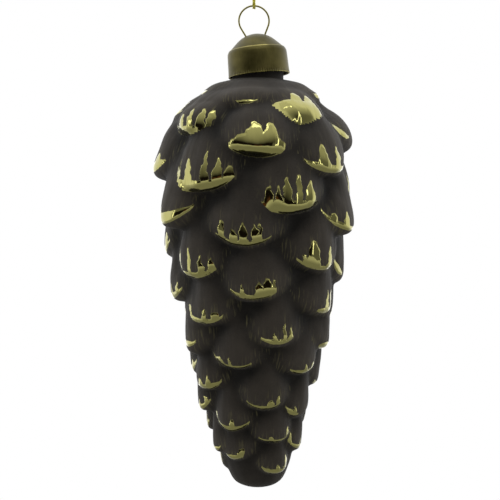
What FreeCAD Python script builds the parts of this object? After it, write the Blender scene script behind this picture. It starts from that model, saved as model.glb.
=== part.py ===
"""Blown glass pine cone bauble with its metal cap, wire hanger and hanging cord.

Lengths are in millimetres and +Z is up. The origin is the top inside of the
hanger's ring, where the cord carries the bauble. The front of the cone faces -Y.
The cap sits a little crooked on the neck, as a loose spring-held cap does.
"""
import FreeCAD, Part
import math
import os

os.makedirs("parts", exist_ok=True)

Vector = FreeCAD.Vector

# Cap, measured in its own upright frame from the plane of its rim
CAP_SHOULDER_RADIUS = 8.6
CAP_FLARE = 0.3  # how much wider the rim is than the shoulder
CAP_SKIRT_HEIGHT = 6.5
CAP_WALL = 0.3
CAP_ROUNDING = 1.3  # radius of the rounded shoulder above the skirt
CAP_ROUNDING_ANGLE = 60.0  # degrees of that arc, up to the crease
CAP_SLOPE = 44.0  # degrees, side of the dome above the crease
CAP_TOP_RADIUS = 8.0  # radius of the round top of the dome
CAP_TILT = 5.4  # degrees, leaning to the left as it goes up

# Hanger, one wire: a ring, and two spring legs through the dome
RING_INNER_RADIUS = 4.12
WIRE_DIAMETER = 0.5
RING_ABOVE_RIM = 16.0  # middle of the ring above the cap's rim plane
LEG_LEAN = 26.0  # degrees from upright, where the legs leave the ring
LEG_BEND_BELOW_TOP = 2.9  # bend of the legs below the outside of the dome's top
LEG_BEND_RADIUS = 1.1
HOLE_CLEARANCE = 0.15
HOLE_CUT_LENGTH = 5.0  # along the leg from where it leaves the ring

# Glass cone
CONE_LENGTH = 117.9  # neck root to tip
CONE_RADIUS = 24.0  # widest radius of the core that the scales stand on
GLASS_WALL = 1.0
NECK_CLEARANCE = 0.82  # neck to inside of the cap's shoulder
NECK_PIVOT_ABOVE_RIM = 4.8  # where the neck's axis crosses the cap's
NECK_ROOT_BELOW_PIVOT = 6.0
SEAT_GAP = 0.25  # mouth of the neck to the underside of the cap
FOOT_GAP = 0.15  # spring leg to the bore of the neck
FOOT_BELOW_PIVOT = 4.6

# Core outline from neck root to tip, as shares of CONE_RADIUS and CONE_LENGTH.
# The first radius is the neck's own.
CORE_STATIONS = [
    (0.422, 0.009),
    (0.518, 0.023),
    (0.601, 0.047),
    (0.730, 0.081),
    (0.921, 0.128),
    (0.998, 0.201),
    (1.000, 0.286),
    (0.965, 0.379),
    (0.898, 0.481),
    (0.807, 0.583),
    (0.693, 0.684),
    (0.560, 0.790),
    (0.450, 0.880),
    (0.376, 0.942),
    (0.262, 0.985),
    (0.000, 1.000),
]

# Scales on a golden-angle spiral that runs down the cone. Scale 0 faces front.
FIRST_SCALE = -11
LAST_SCALE = 59
SPIRAL_START = 1.4  # degrees, azimuth of scale 0, positive to the right
SPIRAL_STEP = 137.18  # degrees from one scale to the next
LIP_SHARE = 0.206  # lip of scale 0 below the neck root, share of CONE_LENGTH
PITCH_SHARE = 0.01649  # drop from one lip to the next at scale 0, same share
PITCH_SHRINK = 0.0000613  # how the drop shortens down the cone, same share
SHOULDER_SCALE = -5  # scales above this one crowd together on the shoulder
SHOULDER_PITCH_SHARE = 0.0106
LOWEST_LIP_SHARE = 0.991

# How single scales stray from the even spiral: degrees, millimetres down, share of height
STRAY = {
    -8: (7, 1.0, 1.0),
    -7: (5, -1.0, 0.85),
    -6: (0, 2.0, 1.0),
    -5: (-3, 1.0, 1.0),
    -3: (0, -1.0, 1.0),
    -2: (6, 1.0, 0.9),
    2: (-4, 1.0, 1.25),
    3: (-6, -1.5, 1.0),
    5: (-4, 0.0, 1.0),
    6: (11, 1.0, 0.95),
    10: (3, 0.0, 1.4),
    11: (-3, 0.0, 1.15),
    13: (8, 0.0, 1.0),
    15: (1, -0.5, 1.1),
    16: (7, 2.0, 1.0),
    18: (4, 0.0, 1.0),
    19: (9, 0.0, 0.8),
    21: (-4, 1.0, 1.0),
    23: (0, -1.0, 1.05),
    24: (-2, 1.0, 0.85),
    26: (-8, 0.0, 1.0),
    27: (7, -1.0, 0.8),
    28: (2, -0.5, 0.9),
    29: (-5, 1.5, 1.0),
    31: (4, 0.0, 1.2),
    32: (-4, -2.0, 0.9),
    34: (-4, 0.5, 1.0),
    35: (3, 0.5, 0.95),
    36: (1, 0.5, 0.95),
    37: (3, -2.0, 1.0),
    39: (-9, -0.5, 1.1),
    40: (5, -2.5, 0.7),
    42: (5, 0.5, 1.0),
    44: (1, -0.5, 1.25),
    45: (2, -0.5, 0.85),
    48: (6, -0.5, 0.75),
    49: (6, -1.0, 1.25),
    52: (2, 0.5, 1.1),
    53: (-2, -0.5, 0.8),
    55: (-18, -1.0, 1.0),
    56: (11, -0.5, 0.8),
    57: (-3, 0.5, 0.5),
    58: (-9, 0.0, 1.0),
}

# Shape of one scale, as shares of its cell on the spiral
HALF_WIDTH_SHARE = 0.66
WIDEST_SHARE = 0.43  # height of the widest place above the lip
LENGTH_SHARE = 1.75
HEIGHT_SHARE = 0.27
HEIGHT_START = 0.2
CELL_MARGIN = 3.5  # added to the core radius for the size of a cell
ARC_MARGIN = 2.0  # added to the core radius for widths round the cone
LIP_FLAT = 0.35  # share of a scale's reach before its edge rounds over
EDGE_POWER = 2.2
SHOULDER_POWER = 1.3  # plan curve of the upper end, 2 would be an ellipse
SLOPE_FALL = 0.97  # height lost from the lip to the upper end
SLOPE_START = 0.35  # the fall starts at this share of the widest place
CROWN_FALL = 0.12  # height lost from the middle to the sides
BLEND_POWER = 5.0  # sharpness of the valleys between scales
SCALE_LEAN = 15.0  # degrees that the scales point down from square
NECK_FADE_START = 1.0
NECK_FADE_LENGTH = 13.0
TIP_FADE_LENGTH = 3.0
INNER_RELIEF = 0.3  # share of the scales' height that shows inside the glass

# Facets of the glass
COLUMN_COUNT = 72
ROW_COUNT = 56
INNER_COLUMN_COUNT = 36
INNER_ROW_COUNT = 32
OUTLINE_SAMPLE_COUNT = 300
CURVE_STEP_COUNT = 24
BEND_WEIGHT = 6.0  # millimetres of outline that one radian of bend counts as

# Hanging cord, a closed loop held upright by whatever it hangs on
CORD_DIAMETER = 0.9
CORD_WRAP_GAP = 0.04
KNOT_DIAMETER = 2.4
KNOT_LENGTH = 3.0
KNOT_ROUNDING = 0.8
KNOT_GAP = 0.05
TAIL_LENGTH = 4.5
# Corners of the cord's route as (y, z), back strand first, without the two under the ring
CORD_LOOP_TOP = 42.2
LOOP_CORNERS = [(2.9, CORD_LOOP_TOP), (-2.9, CORD_LOOP_TOP)]
LOOP_CORNER_RADIUS = 2.7
KNOT_Z = 30.0  # middle of the knot on the back strand

# Worked out from the sizes above
TILT = math.radians(CAP_TILT)
CAP_RIM_RADIUS = CAP_SHOULDER_RADIUS + CAP_FLARE
RING_RADIUS = RING_INNER_RADIUS + WIRE_DIAMETER / 2
WIRE_RADIUS = WIRE_DIAMETER / 2
CAP_AXIS = Vector(-math.sin(TILT), 0, math.cos(TILT))
RING_CENTRE = Vector(0, 0, -RING_INNER_RADIUS)
CAP_BASE = RING_CENTRE - CAP_AXIS * RING_ABOVE_RIM
PIVOT = CAP_BASE + CAP_AXIS * NECK_PIVOT_ABOVE_RIM
CONE_AXIS_X = PIVOT.x
ROOT_Z = PIVOT.z - NECK_ROOT_BELOW_PIVOT
NECK_RADIUS = CAP_SHOULDER_RADIUS - CAP_WALL - NECK_CLEARANCE
BORE_RADIUS = NECK_RADIUS - GLASS_WALL


def cap_to_world(shape):
    """Tilt a shape made in the cap's upright frame and set it in place."""
    placed = shape.copy()
    placed.rotate(Vector(0, 0, 0), Vector(0, 1, 0), -CAP_TILT)
    placed.translate(CAP_BASE)
    return placed


# Cap


def cap_crease():
    """Radius and height of the crease between the rounded shoulder and the dome."""
    angle = math.radians(CAP_ROUNDING_ANGLE)
    centre_radius = CAP_SHOULDER_RADIUS - CAP_ROUNDING
    radius = centre_radius + CAP_ROUNDING * math.cos(angle)
    height = CAP_SKIRT_HEIGHT + CAP_ROUNDING * math.sin(angle)
    return radius, height


def dome_top_height():
    """Height of the outside of the dome's top above the rim plane."""
    slope = math.radians(CAP_SLOPE)
    radius, height = cap_crease()
    tangent_radius = CAP_TOP_RADIUS * math.sin(slope)
    side_rise = (radius - tangent_radius) * math.tan(slope)
    return height + side_rise + CAP_TOP_RADIUS * (1 - math.cos(slope))


def cap_profile(inset):
    """Half section of the cap, moved inwards by inset, from rim to top."""
    slope = math.radians(CAP_SLOPE)
    end = math.radians(CAP_ROUNDING_ANGLE)
    arc = CAP_ROUNDING - inset
    centre_x = CAP_SHOULDER_RADIUS - CAP_ROUNDING
    round_centre = Vector(centre_x, 0, CAP_SKIRT_HEIGHT)
    crease_x, crease_z = cap_crease()
    # the dome's side, moved inwards square to its slope
    side_x = crease_x - inset * math.sin(slope)
    side_z = crease_z - inset * math.cos(slope)
    top_radius = CAP_TOP_RADIUS - inset
    top_centre = Vector(0, 0, dome_top_height() - CAP_TOP_RADIUS)
    tangent = top_centre + Vector(math.sin(slope), 0, math.cos(slope)) * top_radius
    rim = Vector(CAP_RIM_RADIUS - inset, 0, 0)
    skirt_top = round_centre + Vector(arc, 0, 0)
    arc_middle = round_centre + Vector(math.cos(end / 2), 0, math.sin(end / 2)) * arc
    arc_end = round_centre + Vector(math.cos(end), 0, math.sin(end)) * arc
    side_start = Vector(side_x, 0, side_z)
    top_middle = top_centre + Vector(math.sin(slope / 2), 0, math.cos(slope / 2)) * top_radius
    apex = top_centre + Vector(0, 0, top_radius)
    edges = [
        Part.LineSegment(rim, skirt_top).toShape(),
        Part.Arc(skirt_top, arc_middle, arc_end).toShape(),
    ]
    if (side_start - arc_end).Length > 1e-6:
        edges.append(Part.LineSegment(arc_end, side_start).toShape())
    edges.append(Part.LineSegment(side_start, tangent).toShape())
    edges.append(Part.Arc(tangent, top_middle, apex).toShape())
    return edges, rim, apex


def make_cap():
    """Thin spun shell with two holes for the legs of the hanger."""
    outer, outer_rim, outer_apex = cap_profile(0.0)
    inner, inner_rim, inner_apex = cap_profile(CAP_WALL)
    edges = outer + inner
    edges.append(Part.LineSegment(outer_rim, inner_rim).toShape())
    edges.append(Part.LineSegment(outer_apex, inner_apex).toShape())
    section = Part.Face(Part.Wire(Part.__sortEdges__(edges)))
    shell = section.revolve(Vector(0, 0, 0), Vector(0, 0, 1), 360)
    for side in (-1, 1):
        start, direction = leg_line(side)
        hole = Part.makeCylinder(WIRE_RADIUS + HOLE_CLEARANCE, HOLE_CUT_LENGTH, start, direction)
        shell = shell.cut(hole)
    return cap_to_world(shell)


# Hanger


def leg_line(side):
    """Where a leg leaves the ring, and its direction, in the cap's frame."""
    lean = math.radians(LEG_LEAN)
    across = RING_RADIUS * math.cos(lean)
    below = RING_RADIUS * math.sin(lean)
    start = Vector(side * across, 0, RING_ABOVE_RIM - below)
    direction = Vector(-side * math.sin(lean), 0, -math.cos(lean))
    return start, direction


def leg_bend(side):
    """Corner under the dome where a leg turns outwards, in the cap's frame."""
    start, direction = leg_line(side)
    drop = start.z - (dome_top_height() - LEG_BEND_BELOW_TOP)
    return start + direction * (drop / -direction.z)


def leg_foot(side):
    """End of a leg beside the bore of the neck, in the cap's frame."""
    across = side * (BORE_RADIUS - WIRE_RADIUS - FOOT_GAP)
    x = across * math.cos(TILT) - FOOT_BELOW_PIVOT * math.sin(TILT)
    z = -across * math.sin(TILT) - FOOT_BELOW_PIVOT * math.cos(TILT)
    return Vector(x, 0, z + NECK_PIVOT_ABOVE_RIM)


def rounded_corner(before, corner, after, radius):
    """Arc of the given radius that joins two straight runs at a corner."""
    back = (before - corner).normalize()
    ahead = (after - corner).normalize()
    half = back.getAngle(ahead) / 2
    first = corner + back * (radius / math.tan(half))
    last = corner + ahead * (radius / math.tan(half))
    towards = (back + ahead).normalize()
    middle = corner + towards * (radius / math.sin(half) - radius)
    return first, middle, last


def make_hanger():
    """One bent wire: spring leg, ring, spring leg."""
    ring_centre = Vector(0, 0, RING_ABOVE_RIM)
    edges = []
    ends = {}
    for side in (-1, 1):
        start, _ = leg_line(side)
        corner = leg_bend(side)
        foot = leg_foot(side)
        first, middle, last = rounded_corner(start, corner, foot, LEG_BEND_RADIUS)
        edges.append(Part.LineSegment(foot, last).toShape())
        edges.append(Part.Arc(last, middle, first).toShape())
        edges.append(Part.LineSegment(first, start).toShape())
        ends[side] = start
    ring_top = ring_centre + Vector(0, 0, RING_RADIUS)
    edges.append(Part.Arc(ends[-1], ring_top, ends[1]).toShape())
    path = Part.Wire(Part.__sortEdges__(edges))
    foot = leg_foot(-1)
    along = (leg_bend(-1) - foot).normalize()
    section = Part.Wire(Part.Circle(foot, along, WIRE_RADIUS).toShape())
    wire = path.makePipeShell([section], True, True)
    return cap_to_world(wire)


# Glass cone


def mouth_above_pivot():
    """Height of the neck's mouth that leaves SEAT_GAP under the dome's side."""
    slope = math.tan(math.radians(CAP_SLOPE))
    crease_x, crease_z = cap_crease()
    inside = CAP_WALL / math.cos(math.radians(CAP_SLOPE)) + SEAT_GAP
    room = crease_z - NECK_PIVOT_ABOVE_RIM - inside
    room += (crease_x - NECK_RADIUS * math.cos(TILT)) * slope
    room -= NECK_RADIUS * math.sin(TILT)
    return room / (math.cos(TILT) - math.sin(TILT) * slope)


def spline_through(points, steps):
    """Centripetal Catmull-Rom curve through (radius, drop) points."""
    first = (2 * points[0][0] - points[1][0], 2 * points[0][1] - points[1][1])
    last = (-points[-2][0], points[-2][1])
    chain = [first] + points + [last]
    curve = []
    for k in range(1, len(chain) - 2):
        p0, p1, p2, p3 = chain[k - 1:k + 3]
        t1 = math.dist(p0, p1) ** 0.5
        t2 = t1 + math.dist(p1, p2) ** 0.5
        t3 = t2 + math.dist(p2, p3) ** 0.5
        for step in range(steps):
            t = t1 + (t2 - t1) * step / steps
            point = []
            for a, b, c, d in zip(p0, p1, p2, p3):
                ab = a + (b - a) * t / t1
                bc = b + (c - b) * (t - t1) / (t2 - t1)
                cd = c + (d - c) * (t - t2) / (t3 - t2)
                abc = ab + (bc - ab) * t / t2
                bcd = bc + (cd - bc) * (t - t1) / (t3 - t1)
                point.append(abc + (bcd - abc) * (t - t1) / (t2 - t1))
            curve.append((max(point[0], 0.0), point[1]))
    curve.append(points[-1])
    return curve


class Core:
    """Smooth outline of the cone under its scales, by length from the neck root."""

    def __init__(self):
        points = [(NECK_RADIUS, 0.0)]
        for radius_share, length_share in CORE_STATIONS:
            points.append((radius_share * CONE_RADIUS, length_share * CONE_LENGTH))
        self.points = spline_through(points, CURVE_STEP_COUNT)
        self.lengths = [0.0]
        for a, b in zip(self.points, self.points[1:]):
            self.lengths.append(self.lengths[-1] + math.dist(a, b))
        self.length = self.lengths[-1]

    def at(self, along):
        """Radius, drop and unit direction at a length along the outline."""
        low = 0
        high = len(self.lengths) - 1
        while high - low > 1:
            middle = (low + high) // 2
            if self.lengths[middle] <= along:
                low = middle
            else:
                high = middle
        a = self.points[low]
        b = self.points[high]
        span = self.lengths[high] - self.lengths[low]
        share = (along - self.lengths[low]) / span
        radius = a[0] + (b[0] - a[0]) * share
        drop = a[1] + (b[1] - a[1]) * share
        return radius, drop, (b[0] - a[0]) / span, (b[1] - a[1]) / span

    def length_at_drop(self, drop):
        """Length along the outline at which it has come down by drop."""
        for k in range(1, len(self.points)):
            if self.points[k][1] >= drop:
                a = self.points[k - 1][1]
                b = self.points[k][1]
                share = (drop - a) / (b - a)
                return self.lengths[k - 1] + share * (self.lengths[k] - self.lengths[k - 1])
        return self.length


class Scale:
    """One scale of the cone: its place, its cell's size and its height."""

    def __init__(self, core, number):
        turn, down, stature = STRAY.get(number, (0, 0.0, 1.0))
        pitch = PITCH_SHARE - 2 * PITCH_SHRINK * number
        share = LIP_SHARE + PITCH_SHARE * number - PITCH_SHRINK * number ** 2
        if number < SHOULDER_SCALE:
            share = LIP_SHARE + PITCH_SHARE * SHOULDER_SCALE - PITCH_SHRINK * SHOULDER_SCALE ** 2
            share -= SHOULDER_PITCH_SHARE * (SHOULDER_SCALE - number)
        drop = min(share * CONE_LENGTH + down, LOWEST_LIP_SHARE * CONE_LENGTH)
        self.azimuth = math.radians(SPIRAL_START + SPIRAL_STEP * number + turn)
        self.lip = core.length_at_drop(drop)
        around = 2 * math.pi * (core.at(self.lip)[0] + CELL_MARGIN)
        cell = math.sqrt(around * pitch * CONE_LENGTH)
        self.half_width = HALF_WIDTH_SHARE * cell
        self.widest = WIDEST_SHARE * cell
        self.length = LENGTH_SHARE * cell
        self.height = (HEIGHT_SHARE * cell + HEIGHT_START) * stature

    def height_at(self, across, above):
        """Height of the scale above the core, across from its middle, above its lip."""
        side = abs(across) / self.half_width
        if above < self.widest:
            reach = math.hypot(side, (self.widest - above) / self.widest)
        else:
            rise = (above - self.widest) / (self.length - self.widest)
            reach = (side ** SHOULDER_POWER + rise ** SHOULDER_POWER) ** (1 / SHOULDER_POWER)
        if reach >= 1:
            return 0.0
        edge = max(0.0, (reach - LIP_FLAT) / (1 - LIP_FLAT))
        dome = math.sqrt(1 - edge ** EDGE_POWER)
        start = SLOPE_START * self.widest
        fall = min(max((above - start) / (self.length - start), 0.0), 1.0)
        slope = max(0.0, 1 - SLOPE_FALL * fall)
        crown = max(0.0, 1 - CROWN_FALL * side ** 2)
        return self.height * dome * slope * crown


def wrapped(angle):
    """Angle brought between -pi and pi."""
    return (angle + math.pi) % (2 * math.pi) - math.pi


def smooth_fade(share):
    """Smooth rise from 0 to 1."""
    share = min(max(share, 0.0), 1.0)
    return share * share * (3 - 2 * share)


class ConeSurface:
    """Core outline with the scales standing on it."""

    def __init__(self):
        self.core = Core()
        self.scales = [Scale(self.core, n) for n in range(FIRST_SCALE, LAST_SCALE + 1)]

    def relief(self, azimuth, along, radius):
        """Height of the blended scales at one place."""
        total = 0.0
        for scale in self.scales:
            above = scale.lip - along
            if above < 0 or above > scale.length:
                continue
            across = wrapped(azimuth - scale.azimuth) * (radius + ARC_MARGIN)
            if abs(across) >= scale.half_width:
                continue
            total += scale.height_at(across, above) ** BLEND_POWER
        fade = smooth_fade((along - NECK_FADE_START) / NECK_FADE_LENGTH)
        fade *= smooth_fade((self.core.length - along) / TIP_FADE_LENGTH)
        return fade * total ** (1 / BLEND_POWER)

    def outline(self, azimuth, samples, relief_share, wall):
        """Radius and drop down one side of the cone, wall inside the outer skin."""
        lean = math.radians(SCALE_LEAN)
        points = []
        for k in range(samples + 1):
            along = self.core.length * k / samples
            radius, drop, run, fall = self.core.at(along)
            height = self.relief(azimuth, along, radius) * relief_share
            out = height * math.cos(lean) - wall
            down = height * math.sin(lean)
            point_radius = radius + out * fall + down * run
            points.append((max(point_radius, 0.0), drop - out * run + down * fall))
        return points


def spread_rows(points, rows):
    """Pick rows of an outline closer together where it bends."""
    costs = [0.0]
    heading = None
    for a, b in zip(points, points[1:]):
        step = math.dist(a, b)
        new_heading = math.atan2(b[1] - a[1], b[0] - a[0])
        turn = 0.0 if heading is None else abs(wrapped(new_heading - heading))
        heading = new_heading
        costs.append(costs[-1] + step + BEND_WEIGHT * turn)
    picked = []
    k = 0
    for row in range(rows):
        target = costs[-1] * row / rows
        while costs[k + 1] < target:
            k += 1
        share = (target - costs[k]) / (costs[k + 1] - costs[k])
        a = points[k]
        b = points[k + 1]
        picked.append((a[0] + (b[0] - a[0]) * share, a[1] + (b[1] - a[1]) * share))
    return picked


def ring_of_points(radius_drops, columns, row):
    """World points of one row of a skin, once round the cone's axis."""
    ring = []
    for column in range(columns):
        azimuth = 2 * math.pi * column / columns
        radius, drop = radius_drops[column][row]
        x = CONE_AXIS_X + radius * math.sin(azimuth)
        ring.append(Vector(x, -radius * math.cos(azimuth), ROOT_Z - drop))
    return ring


def skin_rings(surface, columns, rows, relief_share, wall, top_radius, top_z):
    """Rings of points of the outer or inner skin, from the mouth to above the tip."""
    columns_of_points = []
    for column in range(columns):
        azimuth = 2 * math.pi * column / columns
        outline = surface.outline(azimuth, OUTLINE_SAMPLE_COUNT, relief_share, wall)
        columns_of_points.append(spread_rows(outline, rows))
    mouth = []
    for column in range(columns):
        azimuth = 2 * math.pi * column / columns
        x = CONE_AXIS_X + top_radius * math.sin(azimuth)
        mouth.append(Vector(x, -top_radius * math.cos(azimuth), top_z))
    rings = [mouth]
    for row in range(rows):
        rings.append(ring_of_points(columns_of_points, columns, row))
    tip_radius, tip_drop = outline[-1]
    return rings, Vector(CONE_AXIS_X, 0, ROOT_Z - tip_drop)


class FacetSolid:
    """Collects points and triangles, and makes one solid of them."""

    def __init__(self):
        self.points = []
        self.facets = []

    def add_ring(self, ring):
        """Add points and return their numbers."""
        first = len(self.points)
        self.points.extend(ring)
        return list(range(first, len(self.points)))

    def facet(self, a, b, c, outwards):
        """Add a triangle, turned round on an inner skin."""
        self.facets.append((a, b, c) if outwards else (a, c, b))

    def band(self, upper, lower, outwards):
        """Join two rings of equal count, along the shorter diagonals."""
        count = len(upper)
        for k in range(count):
            a = upper[k]
            b = upper[(k + 1) % count]
            c = lower[(k + 1) % count]
            d = lower[k]
            if self.points[a].distanceToPoint(self.points[c]) < self.points[b].distanceToPoint(self.points[d]):
                self.facet(a, d, c, outwards)
                self.facet(a, c, b, outwards)
            else:
                self.facet(a, d, b, outwards)
                self.facet(b, d, c, outwards)

    def tip(self, ring, point, outwards):
        """Close a skin at its tip."""
        centre = self.add_ring([point])[0]
        for k in range(len(ring)):
            self.facet(ring[k], centre, ring[(k + 1) % len(ring)], outwards)

    def mouth(self, outer, inner):
        """Close the flat mouth between an outer ring and an inner one of half its count."""
        for k in range(len(inner)):
            a = outer[2 * k]
            b = outer[2 * k + 1]
            c = outer[(2 * k + 2) % len(outer)]
            p = inner[k]
            q = inner[(k + 1) % len(inner)]
            self.facets.append((a, b, p))
            self.facets.append((b, q, p))
            self.facets.append((b, c, q))

    def solid(self):
        """The closed solid."""
        shape = Part.Shape()
        shape.makeShapeFromMesh((self.points, self.facets), 0.001, False)
        return Part.Solid(Part.Shell(shape.Faces))


def make_glass_cone():
    """Hollow blown cone with its scales outside, soft relief inside and open neck."""
    surface = ConeSurface()
    mouth_z = PIVOT.z + mouth_above_pivot()
    outer_rings, outer_tip = skin_rings(surface, COLUMN_COUNT, ROW_COUNT, 1.0, 0.0, NECK_RADIUS, mouth_z)
    inner_rings, inner_tip = skin_rings(
        surface, INNER_COLUMN_COUNT, INNER_ROW_COUNT, INNER_RELIEF, GLASS_WALL, BORE_RADIUS, mouth_z
    )
    body = FacetSolid()
    outer = [body.add_ring(ring) for ring in outer_rings]
    inner = [body.add_ring(ring) for ring in inner_rings]
    for upper, lower in zip(outer, outer[1:]):
        body.band(upper, lower, True)
    for upper, lower in zip(inner, inner[1:]):
        body.band(upper, lower, False)
    body.tip(outer[-1], outer_tip, True)
    body.tip(inner[-1], inner_tip, False)
    body.mouth(outer[0], inner[0])
    return body.solid()


# Hanging cord


def cord_route():
    """Corners of the cord from the top of its knot round to the knot's underside."""
    reach = WIRE_RADIUS + CORD_DIAMETER / 2 + CORD_WRAP_GAP
    back_low = Vector(0, reach, WIRE_RADIUS - reach)
    front_low = Vector(0, -reach, WIRE_RADIUS - reach)
    back_high = Vector(0, *LOOP_CORNERS[0])
    front_high = Vector(0, *LOOP_CORNERS[1])
    along = (back_high - back_low).normalize()
    knot_middle = back_low + along * ((KNOT_Z - back_low.z) / along.z)
    half_knot = KNOT_LENGTH / 2 + KNOT_GAP
    knot_top = knot_middle + along * half_knot
    knot_bottom = knot_middle - along * half_knot
    return [knot_top, back_high, front_high, front_low, back_low, knot_bottom], knot_middle, along


def make_cord(route):
    """Cord tube: straight runs, rounded over the loop's top and round the ring's wire."""
    wrap_radius = WIRE_RADIUS + CORD_DIAMETER / 2 + CORD_WRAP_GAP
    radii = [LOOP_CORNER_RADIUS, LOOP_CORNER_RADIUS, wrap_radius, wrap_radius]
    edges = []
    start = route[0]
    for k, radius in enumerate(radii, 1):
        first, middle, last = rounded_corner(route[k - 1], route[k], route[k + 1], radius)
        if start.distanceToPoint(first) > 1e-4:
            edges.append(Part.LineSegment(start, first).toShape())
        edges.append(Part.Arc(first, middle, last).toShape())
        start = last
    edges.append(Part.LineSegment(start, route[-1]).toShape())
    path = Part.Wire(edges)
    along = (route[1] - route[0]).normalize()
    section = Part.Wire(Part.Circle(route[0], along, CORD_DIAMETER / 2).toShape())
    cord = path.makePipeShell([section], True, True)
    expected = math.pi * (CORD_DIAMETER / 2) ** 2 * path.Length
    print("cord length", round(path.Length, 2), "volume", round(cord.Volume, 2), "expected", round(expected, 2))
    print("cord radii", [round(radius, 2) for radius in radii])
    return cord


def make_knot(middle, along):
    """Small tight knot with the cord's two short ends hanging beside it."""
    lower = middle - along * (KNOT_LENGTH / 2)
    barrel = Part.makeCylinder(KNOT_DIAMETER / 2, KNOT_LENGTH, lower, along)
    knot = barrel.makeFillet(KNOT_ROUNDING, [barrel.Edges[0], barrel.Edges[2]])
    offset = KNOT_DIAMETER / 4
    for side in (-1, 1):
        start = middle + Vector(side * offset, offset, 0)
        direction = Vector(side * math.sin(math.radians(20)), 0.5, -1).normalize()
        knot = knot.fuse(Part.makeCylinder(CORD_DIAMETER / 2, TAIL_LENGTH, start, direction))
    return knot.removeSplitter()


def main():
    """Build every sub-part and write it out."""
    route, knot_middle, along = cord_route()
    parts = {
        "glass_cone": make_glass_cone(),
        "cap": make_cap(),
        "hanger_wire": make_hanger(),
        "hanging_cord": make_cord(route),
        "cord_knot": make_knot(knot_middle, along),
    }
    for name, shape in parts.items():
        shape.exportStep("parts/" + name + ".step")
        print(name, shape.ShapeType, "valid", shape.isValid(), "volume", round(shape.Volume, 2))


main()
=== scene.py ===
"""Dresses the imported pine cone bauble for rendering.

The bauble hangs from its wire ring, whose top inside is the origin. Lengths in
the code are millimetres unless a name says otherwise, and MM turns them into
Blender's metres.
"""
import logging
import math
from dataclasses import dataclass, field
from enum import Enum

import bpy
import numpy as np
from mathutils import Matrix, Vector


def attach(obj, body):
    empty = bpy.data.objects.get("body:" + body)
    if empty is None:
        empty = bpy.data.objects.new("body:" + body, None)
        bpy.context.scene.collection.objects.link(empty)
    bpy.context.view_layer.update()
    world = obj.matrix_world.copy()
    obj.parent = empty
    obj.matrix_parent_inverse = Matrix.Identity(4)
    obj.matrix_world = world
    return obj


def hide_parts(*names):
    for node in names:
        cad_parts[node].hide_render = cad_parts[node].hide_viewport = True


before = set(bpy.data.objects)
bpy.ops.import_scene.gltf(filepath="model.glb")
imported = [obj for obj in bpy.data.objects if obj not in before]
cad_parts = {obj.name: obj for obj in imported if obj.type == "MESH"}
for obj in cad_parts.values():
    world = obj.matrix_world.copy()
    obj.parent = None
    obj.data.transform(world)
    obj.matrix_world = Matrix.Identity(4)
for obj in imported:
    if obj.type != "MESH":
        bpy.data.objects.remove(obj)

log = logging.getLogger("bauble")

MM = 0.001
BODY = "root"
RUN_COUNT = 5  # upright runs of gold that one patch may have
CENTRE = -70 * MM  # height of the bauble's middle, where the lights are aimed
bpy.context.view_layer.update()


# Small helpers


def linear(hex_colour: str) -> tuple[float, float, float, float]:
    """Turn an sRGB hex colour into linear red, green, blue and alpha.

    Args:
        hex_colour: six hex digits after a hash sign.

    Returns:
        Four floats from 0 to 1.
    """
    channels = []
    for start in (1, 3, 5):
        value = int(hex_colour[start:start + 2], 16) / 255
        channels.append(value / 12.92 if value <= 0.04045 else ((value + 0.055) / 1.055) ** 2.4)
    return (channels[0], channels[1], channels[2], 1.0)


def add_node(tree: bpy.types.NodeTree, kind: str, settings: dict, links: dict) -> bpy.types.Node:
    """Add a shader node, set its properties and inputs, and link what feeds it.

    Args:
        tree: node tree that gets the node.
        kind: Blender's name of the node type.
        settings: property names, or input names or numbers, with their values.
        links: input names or numbers with the output socket that feeds each.

    Returns:
        The new node.
    """
    node = tree.nodes.new(kind)
    for name, value in settings.items():
        if isinstance(name, str) and hasattr(node, name):
            setattr(node, name, value)
        else:
            node.inputs[name].default_value = value
    for name, socket in links.items():
        tree.links.new(socket, node.inputs[name])
    return node


def set_stops(ramp: bpy.types.Node, stops: list[tuple[float, str]]) -> None:
    """Give a colour ramp its stops.

    Args:
        ramp: the colour ramp node.
        stops: positions from 0 to 1 with hex colours, in order.
    """
    elements = ramp.color_ramp.elements
    while len(elements) < len(stops):
        elements.new(1.0)
    for element, (position, hex_colour) in zip(elements, stops):
        element.position = position
        element.color = linear(hex_colour)


def new_material(name: str) -> tuple[bpy.types.Material, bpy.types.NodeTree, bpy.types.Node]:
    """Make an empty node material.

    Args:
        name: the material's name.

    Returns:
        The material, its node tree and its output node.
    """
    material = bpy.data.materials.new(name)
    material.use_nodes = True
    tree = material.node_tree
    tree.nodes.clear()
    return material, tree, tree.nodes.new("ShaderNodeOutputMaterial")


def dress(piece: bpy.types.Object, material: bpy.types.Material) -> None:
    """Give a piece one material all over.

    Args:
        piece: the object.
        material: its finish.
    """
    piece.data.materials.clear()
    piece.data.materials.append(material)


def deselect_all() -> None:
    """Leave nothing selected and no active object."""
    bpy.ops.object.select_all(action="DESELECT")
    bpy.context.view_layer.objects.active = None


def wrapped(angle: np.ndarray) -> np.ndarray:
    """Bring angles between minus pi and pi."""
    return np.mod(angle + math.pi, 2 * math.pi) - math.pi


def smooth_fade(share: np.ndarray) -> np.ndarray:
    """Smooth rise from 0 to 1."""
    share = np.clip(share, 0.0, 1.0)
    return share * share * (3 - 2 * share)


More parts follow.
